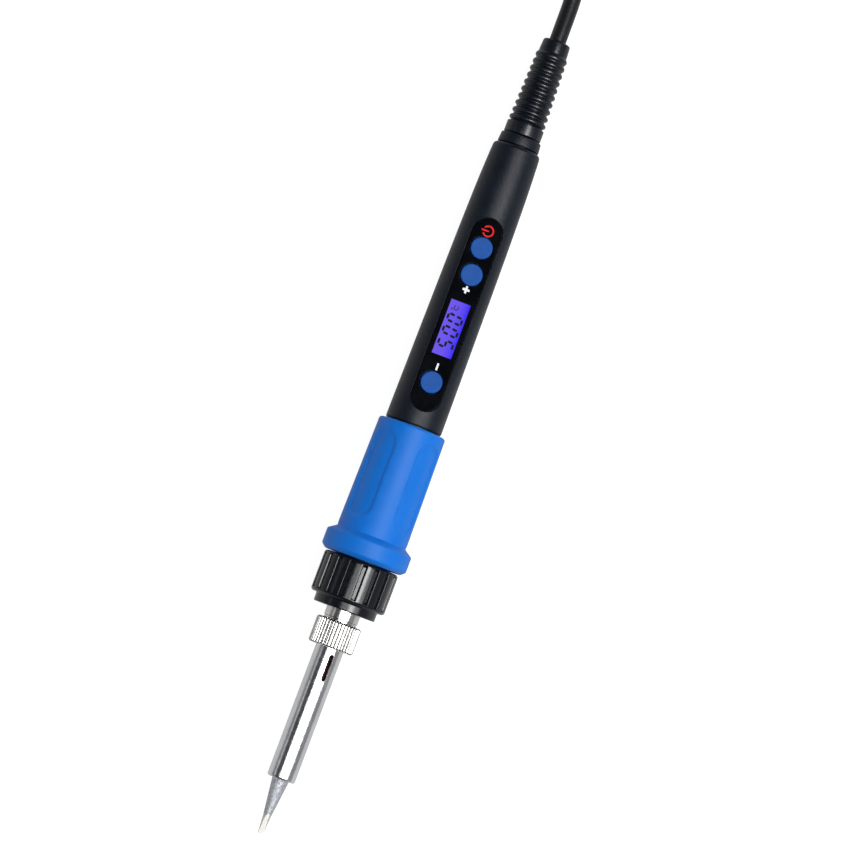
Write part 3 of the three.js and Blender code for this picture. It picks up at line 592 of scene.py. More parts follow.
TINNED_LENGTH, TINNED_RADIUS = 5.9, 1.25
TINNED_EDGE_WANDER = 0.25
TIP_END_HALF, TIP_END_RADIUS = 0.25, 0.8  # half the chisel's thickness and half its width
CONE_RADIUS, SHAFT_FRONT, SHAFT_REAR, SHAFT_RADIUS = 2.55, 18.4, 43, 3.25
BORE_FRONT, BORE_RADIUS = 20.6, 2.25
HEATER_FRONT, HEATER_REAR, HEATER_RADIUS = 21, 86, 1.95
BARREL_FRONT, BARREL_RADIUS, BARREL_INSIDE = 16.7, 4.2, 3.58
MOUTH_REAR, MOUTH_RADIUS = 18.1, 2.85  # the turned-in end that holds the tip's shoulder
BARREL_FLANGE_FRONT, BARREL_FLANGE_REAR, BARREL_FLANGE_RADIUS = 58.9, 59.9, 5.1
SLOT_TURN, SLOT_STATION, SLOT_WIDTH, SLOT_LENGTH = math.radians(15), 51.4, 1.4, 8.3


def add_tip():
    def chisel(station, radius, angle):
        if station >= TINNED_LENGTH or radius < 0.01:
            return radius
        half = TIP_END_HALF + (TINNED_RADIUS - TIP_END_HALF) * station / TINNED_LENGTH
        return min(radius, half / max(abs(math.cos(angle)), 1e-6))

    outline = rounded([
        (0, 0, 0), (0, TIP_END_RADIUS, 0.1), (TINNED_LENGTH, TINNED_RADIUS, 3), (BARREL_FRONT, CONE_RADIUS, 3),
        (SHAFT_FRONT - 0.5, CONE_RADIUS, 0.2), (SHAFT_FRONT, SHAFT_RADIUS, 0.2), (SHAFT_REAR, SHAFT_RADIUS, 0.25),
        (SHAFT_REAR, BORE_RADIUS, 0.15), (BORE_FRONT, BORE_RADIUS, 0.1), (BORE_FRONT, 0, 0),
    ], 4)
    tip = revolved("tip", refined(outline, 0.35), 96, shape=chisel, smooth_angle=28)
    finish_piece(tip, look("iron plating"), "tip", "tip_metal", "soldering_tip")
    tip.data.materials.append(look("tinned end").material)
    to_tool = TOOL.inverted()
    for face in tip.data.polygons:
        station = (to_tool @ face.center).y
        wander = TINNED_EDGE_WANDER * math.sin(3 * math.atan2(face.normal.x, face.normal.z))
        face.material_index = int(station < TINNED_LENGTH + wander)


def add_heater():
    outline = rounded([
        (HEATER_FRONT, 0, 0), (HEATER_FRONT, HEATER_RADIUS, 0.5), (HEATER_REAR, HEATER_RADIUS, 0.3),
        (HEATER_REAR, 0, 0),
    ], 5)
    rod = revolved("heater", refined(outline, 4), 48)
    finish_piece(rod, scorched_ceramic(), "handle", "ceramic", "heater_rod")


def add_barrel():
    outline = rounded([
        (30, BARREL_INSIDE, 0), (MOUTH_REAR, BARREL_INSIDE, 0.2), (MOUTH_REAR, MOUTH_RADIUS, 0.1),
        (BARREL_FRONT, MOUTH_RADIUS, 0.35), (BARREL_FRONT, BARREL_RADIUS, 0.9),
        (BARREL_FLANGE_FRONT, BARREL_RADIUS, 0.25), (BARREL_FLANGE_FRONT, BARREL_FLANGE_RADIUS, 0.15),
        (BARREL_FLANGE_REAR, BARREL_FLANGE_RADIUS, 0.15), (BARREL_FLANGE_REAR, BARREL_INSIDE, 0.15),
        (31, BARREL_INSIDE, 0),
    ], 6)
    barrel = revolved("barrel", refined(outline, 2.5), 128, closed=True)
    place = TOOL @ Matrix.Rotation(SLOT_TURN, 4, "Y") @ Matrix.Translation((0, SLOT_STATION, 0))
    cut_away(barrel, plate("slot cutter", [stadium(SLOT_WIDTH, SLOT_LENGTH, 10)], 1, BARREL_RADIUS + 1.8, place))
    soften_round(barrel, TOOL)
    finish_piece(barrel, look("chrome plate"), "barrel", "chrome", "barrel_tube")


# ---- The two nuts and the neck ----

KNURLS = 40
KNURL_DEPTH = 0.4
KNURL_GROOVE = 0.62  # the share of the pitch that is groove
KNURL_SHADED_SHARE = 0.55  # the share of a groove painted darker, as painted shade with some grime
KNURLED_FRONT, KNURLED_REAR, KNURLED_RADIUS = 57.1, 65.1, 6.75
KNURL_FOOT = 6.1  # the radius under which the nut isn't knurled
THREAD_PITCH, THREAD_DEPTH, THREAD_RADIUS = 0.8, 0.28, 5.45
NECK_FRONT, NECK_RADIUS, NECK_BORE, NECK_REAR, NECK_FLANGE_RADIUS = 60.2, 5.1, 2.6, 73, 6.6
THREAD_REAR, RELIEF_GROOVE_RADIUS = 65.3, 4.85
RIBS = 18
RIB_GROOVE_TURN = math.radians(3)  # where one groove lies
RIB_GROOVE_FLOOR, RIB_GROOVE_EDGE = math.radians(2.2), math.radians(4.1)
RIB_GROOVE_DEPTH = 0.75
RIB_CROWN = 0.12  # how far the edge of a rib stands under its middle
STEP_FRONT, STEP_RADIUS, RIBBED_FRONT, RIBBED_REAR, RIBBED_RADIUS = 68.5, 9.35, 71.1, 83.55, 11.3


def thread_cut(station, angle):
    """How deep the thread is at a place, from 0 on its crest to 1."""
    phase = (station / THREAD_PITCH - angle / TAU) % 1
    return 1 - abs(2 * phase - 1)


def from_knurl_groove(angle):
    """How far an angle is from the middle of the nearest groove, as a share of the pitch."""
    return abs((KNURLS * angle / TAU) % 1 - 0.5)


def add_knurled_nut():
    def knurled(station, radius, angle):
        if radius > KNURL_FOOT - 0.5:
            valley = 1 - smoothstep(from_knurl_groove(angle), 0, KNURL_GROOVE / 2)
            return radius - KNURL_DEPTH * valley * smoothstep(radius, KNURL_FOOT, KNURL_FOOT + 0.4)
        if station > BARREL_FLANGE_FRONT + 0.1 and abs(radius - THREAD_RADIUS) < 0.15:
            return radius - 0.1 + THREAD_DEPTH * thread_cut(station, angle)
        return radius

    outline = rounded([
        (58, 4.5, 0), (KNURLED_FRONT, 4.5, 0.1), (KNURLED_FRONT, 6.3, 0.15), (57.55, KNURLED_RADIUS, 0.2),
        (64.65, KNURLED_RADIUS, 0.2), (KNURLED_REAR, 6.3, 0.15), (KNURLED_REAR, 5.5, 0), (65.0, THREAD_RADIUS, 0),
        (58.6, THREAD_RADIUS, 0), (58.6, 4.5, 0), (58.2, 4.5, 0),
    ], 4)
    nut = revolved("knurled_nut_body", refined(outline, 0.22), KNURLS * 14, closed=True, shape=knurled,
                   smooth_angle=50)
    finish_piece(nut, look("nickel plate"), "retaining_nut", "nickel", "knurled_nut")
    # Groove faces get the darker nickel: painted shade in the knurl grooves, with some grime.
    nut.data.materials.append(look("nickel with painted groove shade").material)
    to_tool = TOOL.inverted()
    for face in nut.data.polygons:
        x, station, z = to_tool @ face.center
        if math.hypot(x, z) > KNURL_FOOT + 0.1 and KNURLED_FRONT + 0.2 < station < KNURLED_REAR - 0.2:
            off_groove = from_knurl_groove(math.atan2(x, z))
            face.material_index = int(off_groove < KNURL_SHADED_SHARE * KNURL_GROOVE / 2)


def add_neck():
    def threaded(station, radius, angle):
        first = NECK_FRONT + 0.3
        if first < station < THREAD_REAR - 0.1 and radius > RELIEF_GROOVE_RADIUS + 0.05:
            return radius - THREAD_DEPTH * thread_cut(station, angle) * smoothstep(station, first, first + 0.5)
        return radius

    outline = refined(rounded([
        (NECK_FRONT, NECK_BORE, 0), (NECK_FRONT, NECK_RADIUS, 0.35), (THREAD_REAR, NECK_RADIUS, 0),
    ], 4), 0.13)
    outline += refined(rounded([
        (THREAD_REAR, RELIEF_GROOVE_RADIUS, 0), (65.8, RELIEF_GROOVE_RADIUS, 0.1), (65.9, NECK_RADIUS, 0.1),
        (71.6, NECK_RADIUS, 0.2), (71.6, NECK_FLANGE_RADIUS, 0.2), (NECK_REAR, NECK_FLANGE_RADIUS, 0.2),
        (NECK_REAR, NECK_BORE, 0),
    ], 4), 1.0)
    neck = revolved("neck", outline, 96, closed=True, shape=threaded)
    finish_piece(neck, look("nickel plate"), "handle", "nickel", "neck_bush")


def rib_angles():
    """Columns round the ribbed nut, close together at the walls of its grooves."""
    half = [0, 1.2, 2.0, 2.3, 2.7, 3.1, 3.5, 3.9, 4.2, 4.8, 6.2, 8.0]
    pitch = 360 / RIBS
    offsets = [-offset for offset in half[:0:-1]] + half + [pitch / 2]
    return [RIB_GROOVE_TURN + math.radians(i * pitch + offset) for i in range(RIBS) for offset in offsets]


def add_ribbed_nut():
    pitch = TAU / RIBS

    def ribbed(station, radius, angle):
        if radius < STEP_RADIUS + 0.55:
            return radius
        offset = abs((angle - RIB_GROOVE_TURN + pitch / 2) % pitch - pitch / 2)
        depth = 1 - smoothstep(offset, RIB_GROOVE_FLOOR, RIB_GROOVE_EDGE)
        depth *= smoothstep(station, 72.0, 72.45) * (1 - smoothstep(station, 82.5, 82.9))
        crown = RIB_CROWN * (offset / (pitch / 2) - 1) ** 2 if offset > RIB_GROOVE_EDGE else 0.05
        return radius - RIB_GROOVE_DEPTH * depth - crown * smoothstep(station, 71.9, 72.6)

    outline = rounded([
        (69.5, 5.4, 0), (STEP_FRONT, 5.4, 0.15), (STEP_FRONT, STEP_RADIUS, 0.35), (RIBBED_FRONT, STEP_RADIUS, 0.35),
        (RIBBED_FRONT, RIBBED_RADIUS, 1.0), (RIBBED_REAR, RIBBED_RADIUS, 0.9), (RIBBED_REAR, 8.55, 0.2),
        (71.9, 8.55, 0.1), (71.3, 8.2, 0.1), (71.3, 5.4, 0.1), (70, 5.4, 0),
    ], 6)
    nut = revolved("ribbed_nut_body", refined(outline, 0.35), 0, closed=True, shape=ribbed, smooth_angle=40,
                   angles=rib_angles())
    finish_piece(nut, look("glossy black moulding"), "front_nut", "gloss_black", "ribbed_nut")


# ---- Handle ----

PAD_DEPTH = 0.6
PAD_FRONT, PAD_REAR = 95.1, 121.9
PAD_HALF_TURN, PAD_CORNER = math.radians(26), 4.2
GRIP_FRONT, GRIP_REAR, GRIP_BORE, FLANGE_RADIUS = 83.85, 125.3, 8.5, 12.95


def add_grip():
    middle, half_length = (PAD_FRONT + PAD_REAR) / 2, (PAD_REAR - PAD_FRONT) / 2

    def padded(station, radius, angle):
        if radius < GRIP_BORE + 0.5 or not PAD_FRONT - 1 < station < PAD_REAR + 1:
            return radius
        turn = (angle % (math.pi / 2)) - math.pi / 4
        across = abs(turn) * radius - (PAD_HALF_TURN * radius - PAD_CORNER)
        along = abs(station - middle) - (half_length - PAD_CORNER)
        edge = math.hypot(max(across, 0), max(along, 0)) + min(max(across, along), 0) - PAD_CORNER
        return radius - PAD_DEPTH * smoothstep(-edge, -0.1, 1.0)

    outline = rounded([
        (90, GRIP_BORE, 0), (GRIP_FRONT, GRIP_BORE, 0.3), (GRIP_FRONT, 11.6, 0.9), (85.0, FLANGE_RADIUS, 0.9),
        (89.65, FLANGE_RADIUS, 0.7), (91.3, 10.5, 0.4), (92.5, 10.6, 1.0), (GRIP_REAR, 10.15, 1.4),
        (GRIP_REAR, GRIP_BORE, 0.3), (91, GRIP_BORE, 0),
    ], 7)
    grip = revolved("grip", refined(outline, 0.5), 288, closed=True, shape=padded, smooth_angle=50)
    finish_piece(grip, look("blue silicone rubber"), "handle", "grip_blue", "grip_sleeve")


HANDLE_TAPER = [(126.2, 8.55), (156, 8.26), (182, 8.0), (198.5, 7.7), (204, 7.5), (208.7, 7.3), (211.4, 7.12)]
TAPER_STEP, TAPER_STEPS = 2.4, 35
TAPER_BLEND = (-4, -2, 0, 2, 4)  # the taper's bends are averaged over these distances
CAVITY_RADIUS = 6.4
BED_HEIGHT = 4.3  # the flat inside the upper shell, under the panel
SHELL_SEAM = math.radians(0.55)
PANEL_LENGTH, PANEL_WIDTH, PANEL_THICKNESS = 58.9, 9.0, 0.9
BUTTON_STATIONS = {"power": 180.5, "plus": 172.2, "minus": 139.0}
BUTTON_HOLE = 3.5
DISPLAY_FRONT, DISPLAY_REAR, DISPLAY_WIDTH = 147.2, 163.8, 5.95


def handle_outline():
    """The shells' section: the bared front, the taper outside, the spigot, and back along the cavity."""
    stations, radii = zip(*HANDLE_TAPER)
    taper = []
    for i in range(TAPER_STEPS):
        station = stations[0] + TAPER_STEP * i
        around = [float(np.interp(station + offset, stations, radii)) for offset in TAPER_BLEND]
        taper.append((station, sum(around) / len(around)))
    front = [(100, CAVITY_RADIUS), (76.6, CAVITY_RADIUS), (76.6, 8.2), (125.6, 8.2), (125.7, 8.35), (126.0, 8.5)]
    spigot = rounded([
        (208.7, 7.3, 0), (211.4, 7.12, 1), (212.0, 6.55, 0.3), (212.0, 4.9, 0.1), (215.2, 4.9, 0.1),
        (215.2, 3.7, 0.1), (208.8, 3.7, 0), (208.8, 5.5, 0), (203, 5.5, 0), (200, CAVITY_RADIUS, 0),
        (192, CAVITY_RADIUS, 0),
    ], 5)
    return front + taper + spigot + [(station, CAVITY_RADIUS) for station in (190, 160, 130, 128)]


def panel_y(station):
    return station - PANEL_STATION


def display_outline(side_margin, end_margin, rounding):
    """The display's opening, grown at its sides and its ends."""
    half = DISPLAY_WIDTH / 2 + side_margin
    front, rear = panel_y(DISPLAY_FRONT) - end_margin, panel_y(DISPLAY_REAR) + end_margin
    return rounded_loop([(-half, front), (half, front), (half, rear), (-half, rear)], rounding)


POCKET_PLAY = 0.2
# How far the panel's pocket is wider at each height, with a rounded lip.
POCKET_WALL = [(0, -1.2), (0, -0.32), (0.05, -0.18), (0.13, -0.1), (0.26, -0.06), (0.3, 3)]


def pocket_ring(grow, height):
    width, length = (size + POCKET_PLAY + 2 * grow for size in (PANEL_WIDTH, PANEL_LENGTH))
    return [(x, y, height) for x, y in stadium(width, length)]


def add_shells():
    def bedded(station, radius, angle):
        if 128.5 < station < 191.5 and abs(radius - CAVITY_RADIUS) < 1e-6:
            return min(radius, BED_HEIGHT / max(math.cos(angle), 0.1))
        return radius

    quarter = math.pi / 2
    upper = revolved("handle_upper", handle_outline(), 96, closed=True, shape=bedded,
                     start=-quarter + SHELL_SEAM, end=quarter - SHELL_SEAM)
    cut_away(upper, lofted("pocket", [pocket_ring(*step) for step in POCKET_WALL], PANEL))
    for station in BUTTON_STATIONS.values():
        cut_away(upper, plate("hole", [circle(0, panel_y(station), BUTTON_HOLE)], -5, 1, PANEL))
    cut_away(upper, plate("display hole", [display_outline(0.8, 1.7, 0.4)], -5, 1, PANEL))
    soften_round(upper, TOOL, 0.985)
    lower = revolved("handle_lower", handle_outline(), 96, closed=True,
                     start=quarter + SHELL_SEAM, end=3 * quarter - SHELL_SEAM)
    surface = look("satin blue-black moulding")
    finish_piece(upper, surface, "handle", "handle_black", "upper_shell")
    finish_piece(lower, surface, "handle", "handle_black", "lower_shell")


def add_collar():
    outline = rounded([
        (213.5, 5.2, 0), (212.35, 5.2, 0.1), (212.35, 6.3, 0.35), (215.4, 6.05, 0.35), (215.4, 5.2, 0.1),
        (214, 5.2, 0),
    ], 5)
    collar = revolved("collar", outline, 96, closed=True)
    finish_piece(collar, look("satin blue-black moulding"), "handle", "handle_black", "rear_collar")


RIB_PITCH, RIB_COUNT, RIBS_FRONT, RIB_STEPS = 2.2, 10, 219.4, 12
RIB_FRONT_RADIUS, RIB_REAR_RADIUS = 5.62, 4.75
RIB_FRONT_DEPTH, RIB_DEPTH_LOSS, RIB_SHARPNESS = 0.85, 0.35, 1.6


def add_boot():
    ribs = []
    for i in range(RIB_COUNT * RIB_STEPS + 1):
        turn = i / RIB_STEPS
        envelope = RIB_FRONT_RADIUS - (RIB_FRONT_RADIUS - RIB_REAR_RADIUS) * turn / RIB_COUNT
        groove = 0.5 + 0.5 * math.cos(TAU * turn)
        depth = RIB_FRONT_DEPTH - RIB_DEPTH_LOSS * turn / RIB_COUNT
        ribs.append((RIBS_FRONT + RIB_PITCH * turn, envelope - depth * groove ** RIB_SHARPNESS, 0))
    outline = rounded([
        (215, 2.8, 0), (206, 2.8, 0.1), (206, 5.2, 0.2), (208.5, 5.2, 0.2), (208.5, 3.4, 0.1), (215.7, 3.4, 0.1),
        (215.7, 5.6, 0.3), (219.1, 5.6, 0.25),
    ] + ribs + [(242.0, 4.25, 0.3), (245.3, 4.05, 1.1), (245.3, 2.8, 0.3), (216, 2.8, 0)], 5)
    boot = revolved("boot", outline, 96, closed=True, smooth_angle=60)
    finish_piece(boot, look("soft black rubber"), "handle", "boot_black", "strain_relief_boot")


# ---- Face panel, display and buttons ----

INK_BOTTOM, INK_TOP = -0.02, 0.025
DIGIT_UP = 2.17  # half a digit's height, from its top bar to its bottom bar
DIGIT_OUT = 1.0  # half its width
DIGIT_BAR, DIGIT_BAR_LENGTH = 0.7, 1.6
DIGIT_SLANT = 0.12
DIGIT_STATIONS = (150.9, 154.7, 158.5)
DIGIT_BARS = {"5": "afgcd", "0": "abcdef"}
SCREEN_TOP, SCREEN_BOTTOM = -0.93, -2.7
LCD_INK = 0.03
PANEL_BEVEL = 0.14
WINDOW_PLAY, WINDOW_TOP, WINDOW_BOTTOM, WINDOW_BEVEL = 0.08, -0.03, -0.86, 0.03


def add_panel():
    holes = [circle(0, panel_y(station), BUTTON_HOLE + PANEL_BEVEL) for station in BUTTON_STATIONS.values()]
    opening = display_outline(PANEL_BEVEL, PANEL_BEVEL, 0.25)
    rim = stadium(PANEL_WIDTH - 2 * PANEL_BEVEL, PANEL_LENGTH - 2 * PANEL_BEVEL, 40)
    panel = plate("face_panel", [rim, opening] + holes, -PANEL_THICKNESS, 0, PANEL, PANEL_BEVEL)
    finish_piece(panel, look("gloss face plate"), "handle", "panel_black", "display_panel")
    pane = display_outline(-WINDOW_PLAY, -WINDOW_PLAY, 0.2)
    window = plate("window_pane", [pane], WINDOW_BOTTOM, WINDOW_TOP, PANEL, WINDOW_BEVEL)
    finish_piece(window, clear_window(), "handle", "window", "display_window")
    screen = plate("screen", [display_outline(0.5, 1.3, 0.2)], SCREEN_BOTTOM, SCREEN_TOP, PANEL, 0.04)
    finish_piece(screen, lit_display(), "handle", "lcd", "lcd_glass")


def digit_bars(digit, station):
    """The dashes of a seven-segment digit. Its top points to -X and it reads towards the cord."""
    def place(along, up):
        return -up, panel_y(station) + along + DIGIT_SLANT * up

    middles = {
        "a": (0, DIGIT_UP, 1), "b": (DIGIT_OUT, DIGIT_UP / 2, 0), "c": (DIGIT_OUT, -DIGIT_UP / 2, 0),
        "d": (0, -DIGIT_UP, 1), "e": (-DIGIT_OUT, -DIGIT_UP / 2, 0), "f": (-DIGIT_OUT, DIGIT_UP / 2, 0),
        "g": (0, 0, 1),
    }
    reach = (DIGIT_BAR_LENGTH - DIGIT_BAR) / 2
    bars = []
    for bar in DIGIT_BARS[digit]:
        along, up, level = middles[bar]
        step = (reach, 0) if level else (0, reach)
        ends = [place(along - step[0], up - step[1]), place(along + step[0], up + step[1])]
        bars.append(stroke(ends, DIGIT_BAR, 4))
    return bars


UNIT_STATION, POWER_SIGN_STATION, PLUS_SIGN_STATION, MINUS_SIGN_STATION = 161.5, 185.75, 167.6, 143.8
POWER_RADIUS, POWER_GAP, POWER_STROKE = 1.5, 38, 0.5  # the gap is half its angle, in degrees
PLUS_ARM, PLUS_HALF = 1.08, 0.34
MINUS_HALF_LENGTH, MINUS_STROKE = 0.8, 0.58


def add_marks():
    """The digits on the screen and the printed signs beside the buttons."""
    bars = [bar for digit, station in zip("500", DIGIT_STATIONS) for bar in digit_bars(digit, station)]
    digits = plate("screen_digits", bars, SCREEN_TOP, SCREEN_TOP + LCD_INK, PANEL)
    finish_piece(digits, printed("liquid crystal digits", (0.0, 0.0, 0.006)), "handle", "lcd")
    y = panel_y(UNIT_STATION)
    degree = [stroke(arc_line(-1.9, y - 0.35, 0.24, 20, 340, 12), 0.17, 4)]
    letter = [stroke(arc_line(-0.75, y + 0.25, 0.62, -230, 50, 16), 0.3, 4)]
    unit = plate("screen_unit", degree + letter, SCREEN_TOP, SCREEN_TOP + LCD_INK, PANEL)
    finish_piece(unit, printed("dim liquid crystal", (0.018, 0.012, 0.16), 0.3), "handle", "lcd")
    y = panel_y(POWER_SIGN_STATION)
    ring = arc_line(0.1, y, POWER_RADIUS, 180 - POWER_GAP, 180 + POWER_GAP - 360)
    y_plus, y_minus = panel_y(PLUS_SIGN_STATION), panel_y(MINUS_SIGN_STATION)
    arm, half = PLUS_ARM, PLUS_HALF
    cross = [(-half, -arm), (half, -arm), (half, -half), (arm, -half), (arm, half), (half, half), (half, arm),
             (-half, arm), (-half, half), (-arm, half), (-arm, -half), (-half, -half)]
    bar = [(0, y_minus - MINUS_HALF_LENGTH), (0, y_minus + MINUS_HALF_LENGTH)]
    # The red and white signs glow a little though nothing lights them from behind: painted light.
    red, white = printed("red ink", (0.58, 0.006, 0.010), 0.15), printed("white ink", (0.72, 0.73, 0.78), 0.1)
    for name, ink, outlines in (
        ("power_sign", red, [stroke(ring, POWER_STROKE), stroke([(-1.75, y), (0.05, y)], POWER_STROKE)]),
        ("plus_sign", white, [rounded_loop([(x, y_plus + v) for x, v in cross], 0.12, 3)]),
        ("minus_sign", white, [stroke(bar, MINUS_STROKE)]),
    ):
        finish_piece(plate(name, outlines, INK_BOTTOM, INK_TOP, PANEL), ink, "handle", "panel_black")


BUTTON_RADIUS, BUTTON_FLANGE_RADIUS, BUTTON_TOP, BUTTON_FOOT = 3.22, 3.9, 0.45, -3.2


def add_buttons():
    surface = satin_plastic("blue button", (0.010, 0.078, 0.33), 0.5, 500, 0.1)
    outline = rounded([
        (BUTTON_FOOT, 0, 0), (BUTTON_FOOT, BUTTON_FLANGE_RADIUS, 0.1), (-2.75, BUTTON_FLANGE_RADIUS, 0.1),
        (-2.75, BUTTON_RADIUS, 0.1), (BUTTON_TOP, BUTTON_RADIUS, 0.35), (0.42, 1.8, 0.8), (0.38, 0, 0),
    ], 6)
    for name, station in BUTTON_STATIONS.items():
        place = frame_of(SIDE, PANEL_OUT, -PANEL_ALONG, PANEL @ Vector((0, panel_y(station), 0)))
        button = revolved(f"{name}_button_cap", refined(outline, 0.5), 64, matrix=place)
        finish_piece(button, surface, f"{name}_button", "button_blue", f"{name}_button")


# ---- Cord, hank, tie and plug ----

CORD_DIAMETER = 0.005
CORD_EXIT_STATION = 245.3
# The stretches that aren't coiled, in millimetres in the object's frame.
LEAD_ROUTE = [
    (0, 123, 5.4), (0, 127, 4.9), (0, 131.5, 3.9), (0, 136, 3.05), (-0.7, 141.8, 2.65), (-2.8, 147.3, 2.55),
    (-6.2, 152.1, 2.55), (-10.15, 155.6, 2.55), (-14.1, 159.1, 2.55), (-16.4, 162.1, 2.55),
]
TAIL_ROUTE = [
    (-20.3, 183, 12.8), (-19.3, 190, 12.8), (-16.7, 198, 12.8), (-13.2, 206, 12.8), (-10, 214, 12.8),
    (-8.4, 220, 12.8), (-7.8, 226, 12.8), (-8.4, 232, 12.8), (-10, 238, 12.8), (-13.2, 246, 12.8),
    (-16.7, 254, 12.8), (-19.3, 262, 12.8), (-20.3, 270, 12.8), (-18.3, 277.6, 12.8), (-12.7, 283.2, 12.9),
    (-5.05, 285.25, 13.3), (2.6, 283.2, 14.4), (8.15, 277.6, 15.8), (10.2, 270, 17.2), (10.2, 264.3, 17.85),
]
INTO_PLUG = (10.2, 259.5, 17.85)
INTO_HANK = [(-18.4, 165.6, 2.55), (-19.9, 170.4, 2.55), (-20.3, 176, 2.55)]
NEAR_LOOP, FAR_LOOP = 182, 270
WAIST_DRAW = 12.5  # how far the tie draws each run in towards the middle
LOW, HIGH = 2.55, 7.55  # the height of the cord's middle in each layer of the hank
OUTER, INNER = 20.3, 15.3
CROSSING_RISE = 5.2  # how far the last far loop rises over the others
RUN_STEPS, LOOP_STEPS = 30, 22
# Four turns: the left and right column and the height, then where the near loop leads: the next left column, the
# next height, and the part of the loop in which the cord climbs.
TURNS = [
    (OUTER, OUTER, LOW, INNER, LOW, (0.0, 1.0)),
    (INNER, INNER, LOW, INNER, HIGH, (0.0, 0.5)),
    (INNER, OUTER, HIGH, OUTER, HIGH, (0.0, 1.0)),
    (OUTER, INNER, HIGH, OUTER, TAIL_ROUTE[0][2], (0.0, 0.5)),
]


def run_points(x, start_y, end_y, height):
    """A run of the hank between its loops, drawn in at the waist."""
    points = []
    for k in range(RUN_STEPS):
        t = k / RUN_STEPS
        draw = WAIST_DRAW * (1 - math.cos(TAU * t)) / 2
        points.append((x - math.copysign(draw, x), start_y + (end_y - start_y) * t, height))
    return points


def loop_points(start_x, end_x, y, sense, start_height, end_height, climb=(0.0, 1.0), rise=0.0):
    """Half a turn round one end of the hank, towards -Y or +Y as sense says."""
    centre, radius = (start_x + end_x) / 2, (start_x - end_x) / 2
    points = []
    for k in range(LOOP_STEPS):
        t = k / LOOP_STEPS
        height = start_height + (end_height - start_height) * smoothstep(t, *climb)
        height += rise * math.sin(math.pi * t) ** 2
        points.append((centre + radius * math.cos(math.pi * t),
                       y + sense * abs(radius) * math.sin(math.pi * t), height))
    return points


def hank_points():
    points = []
    for left, right, height, next_left, next_height, climb in TURNS:
        rise = 0.0 if len(points) < (len(TURNS) - 1) * 2 * (RUN_STEPS + LOOP_STEPS) else CROSSING_RISE
        points += run_points(-left, NEAR_LOOP, FAR_LOOP, height)
        points += loop_points(-left, right, FAR_LOOP, 1, height, height, rise=rise)
        points += run_points(right, FAR_LOOP, NEAR_LOOP, height)
        points += loop_points(right, -next_left, NEAR_LOOP, -1, height, next_height, climb)
    return points


def spaced(points, step):
    """The line again with points a step apart."""
    line = np.array(points, float)
    along = np.concatenate([[0], np.cumsum(np.linalg.norm(np.diff(line, axis=0), axis=1))])
    at = np.linspace(0, along[-1], max(2, round(along[-1] / step) + 1))
    return np.stack([np.interp(at, along, line[:, k]) for k in range(3)], axis=1)


SETTLE_ROUNDS, SETTLE_PUSH, SETTLE_KEEP = 160, 0.4, 0.995
STRAND_GAP = 1.03  # how far apart strands come to rest, in diameters
NEIGHBOURS = 5  # points nearer along the cord than this may be near in space
PINNED_START, PINNED_END = 14, 4  # the points that don't move


def settled(line):
    """Lets strands that cross push apart, in long low humps, without changing the cord's course."""
    diameter = CORD_DIAMETER / MM
    reach = diameter * STRAND_GAP
    home = line.copy()
    loose = np.ones(len(line))
    loose[:PINNED_START] = 0
    loose[len(line) - PINNED_END:] = 0
    apart = np.abs(np.subtract.outer(np.arange(len(line)), np.arange(len(line)))) > NEIGHBOURS
    shift = np.zeros_like(line)
    for _ in range(SETTLE_ROUNDS):
        line = home + shift
        between = line[:, None] - line[None]
        distance = np.sqrt((between ** 2).sum(2))
        near = apart & (distance < reach)
        push = np.where(near, (reach - distance) / np.maximum(distance, TINY) * SETTLE_PUSH, 0)
        shift += (between * push[:, :, None]).sum(1)
        shift[1:-1] = 0.5 * shift[1:-1] + 0.25 * (shift[:-2] + shift[2:])
        shift *= SETTLE_KEEP
        shift[:, 2] = np.maximum(shift[:, 2], diameter / 2 - home[:, 2])
        shift *= loose[:, None]
    return home + shift


def curve_through(points, samples=8):
    """A centripetal curve through the points."""
    p = np.array(points, float)
    p = np.vstack([2 * p[0] - p[1], p, 2 * p[-1] - p[-2]])
    out = []
    for i in range(1, len(p) - 2):
        a, b, c, d = p[i - 1:i + 3]
        t = np.concatenate([[0], np.cumsum([np.linalg.norm(v) ** 0.5 for v in (b - a, c - b, d - c)])])
        for k in range(samples):
            u = t[1] + (t[2] - t[1]) * k / samples

            def between(low, high, start, end):
                return (t[high] - u) / (t[high] - t[low]) * start + (u - t[low]) / (t[high] - t[low]) * end

            first, second, third = between(0, 1, a, b), between(1, 2, b, c), between(2, 3, c, d)
            out.append(between(1, 2, between(0, 2, first, second), between(1, 3, second, third)))
    return out + [p[-2]]


CORD_STEP = 3.0


def cord_line():
    """The cord's centreline in metres, from the boot to the plug."""
    exit_point = tool_point(0, CORD_EXIT_STATION, 0) / MM
    lead = curve_through([tuple(exit_point)] + LEAD_ROUTE + INTO_HANK)
    tail = curve_through(TAIL_ROUTE + [INTO_PLUG])
    line = spaced([tuple(p) for p in lead] + hank_points() + [tuple(p) for p in tail], CORD_STEP)
    line[0] = exit_point
    line = settled(line)
    for _ in range(2):
        line[1:-1] = 0.5 * line[1:-1] + 0.25 * (line[:-2] + line[2:])
    return np.array(curve_through(line, 2)) * MM


def add_cord(surface):
    line = cord_line()
    curve = bpy.data.curves.new("cord", "CURVE")
    curve.dimensions = "3D"
    curve.bevel_depth = CORD_DIAMETER / 2
    curve.bevel_resolution = 5
    curve.use_fill_caps = True
    spline = curve.splines.new("POLY")
    spline.points.add(len(line) - 1)
    for point, place in zip(spline.points, line):
        point.co = (*place, 1)
    spline.use_smooth = True
    cord = bpy.data.objects.new("cord", curve)
    bpy.context.scene.collection.objects.link(cord)
    curve.materials.append(surface.material)
    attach(cord, "handle")
    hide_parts("cord_lead", "cord_hank", "cord_tail")
    return cord, line


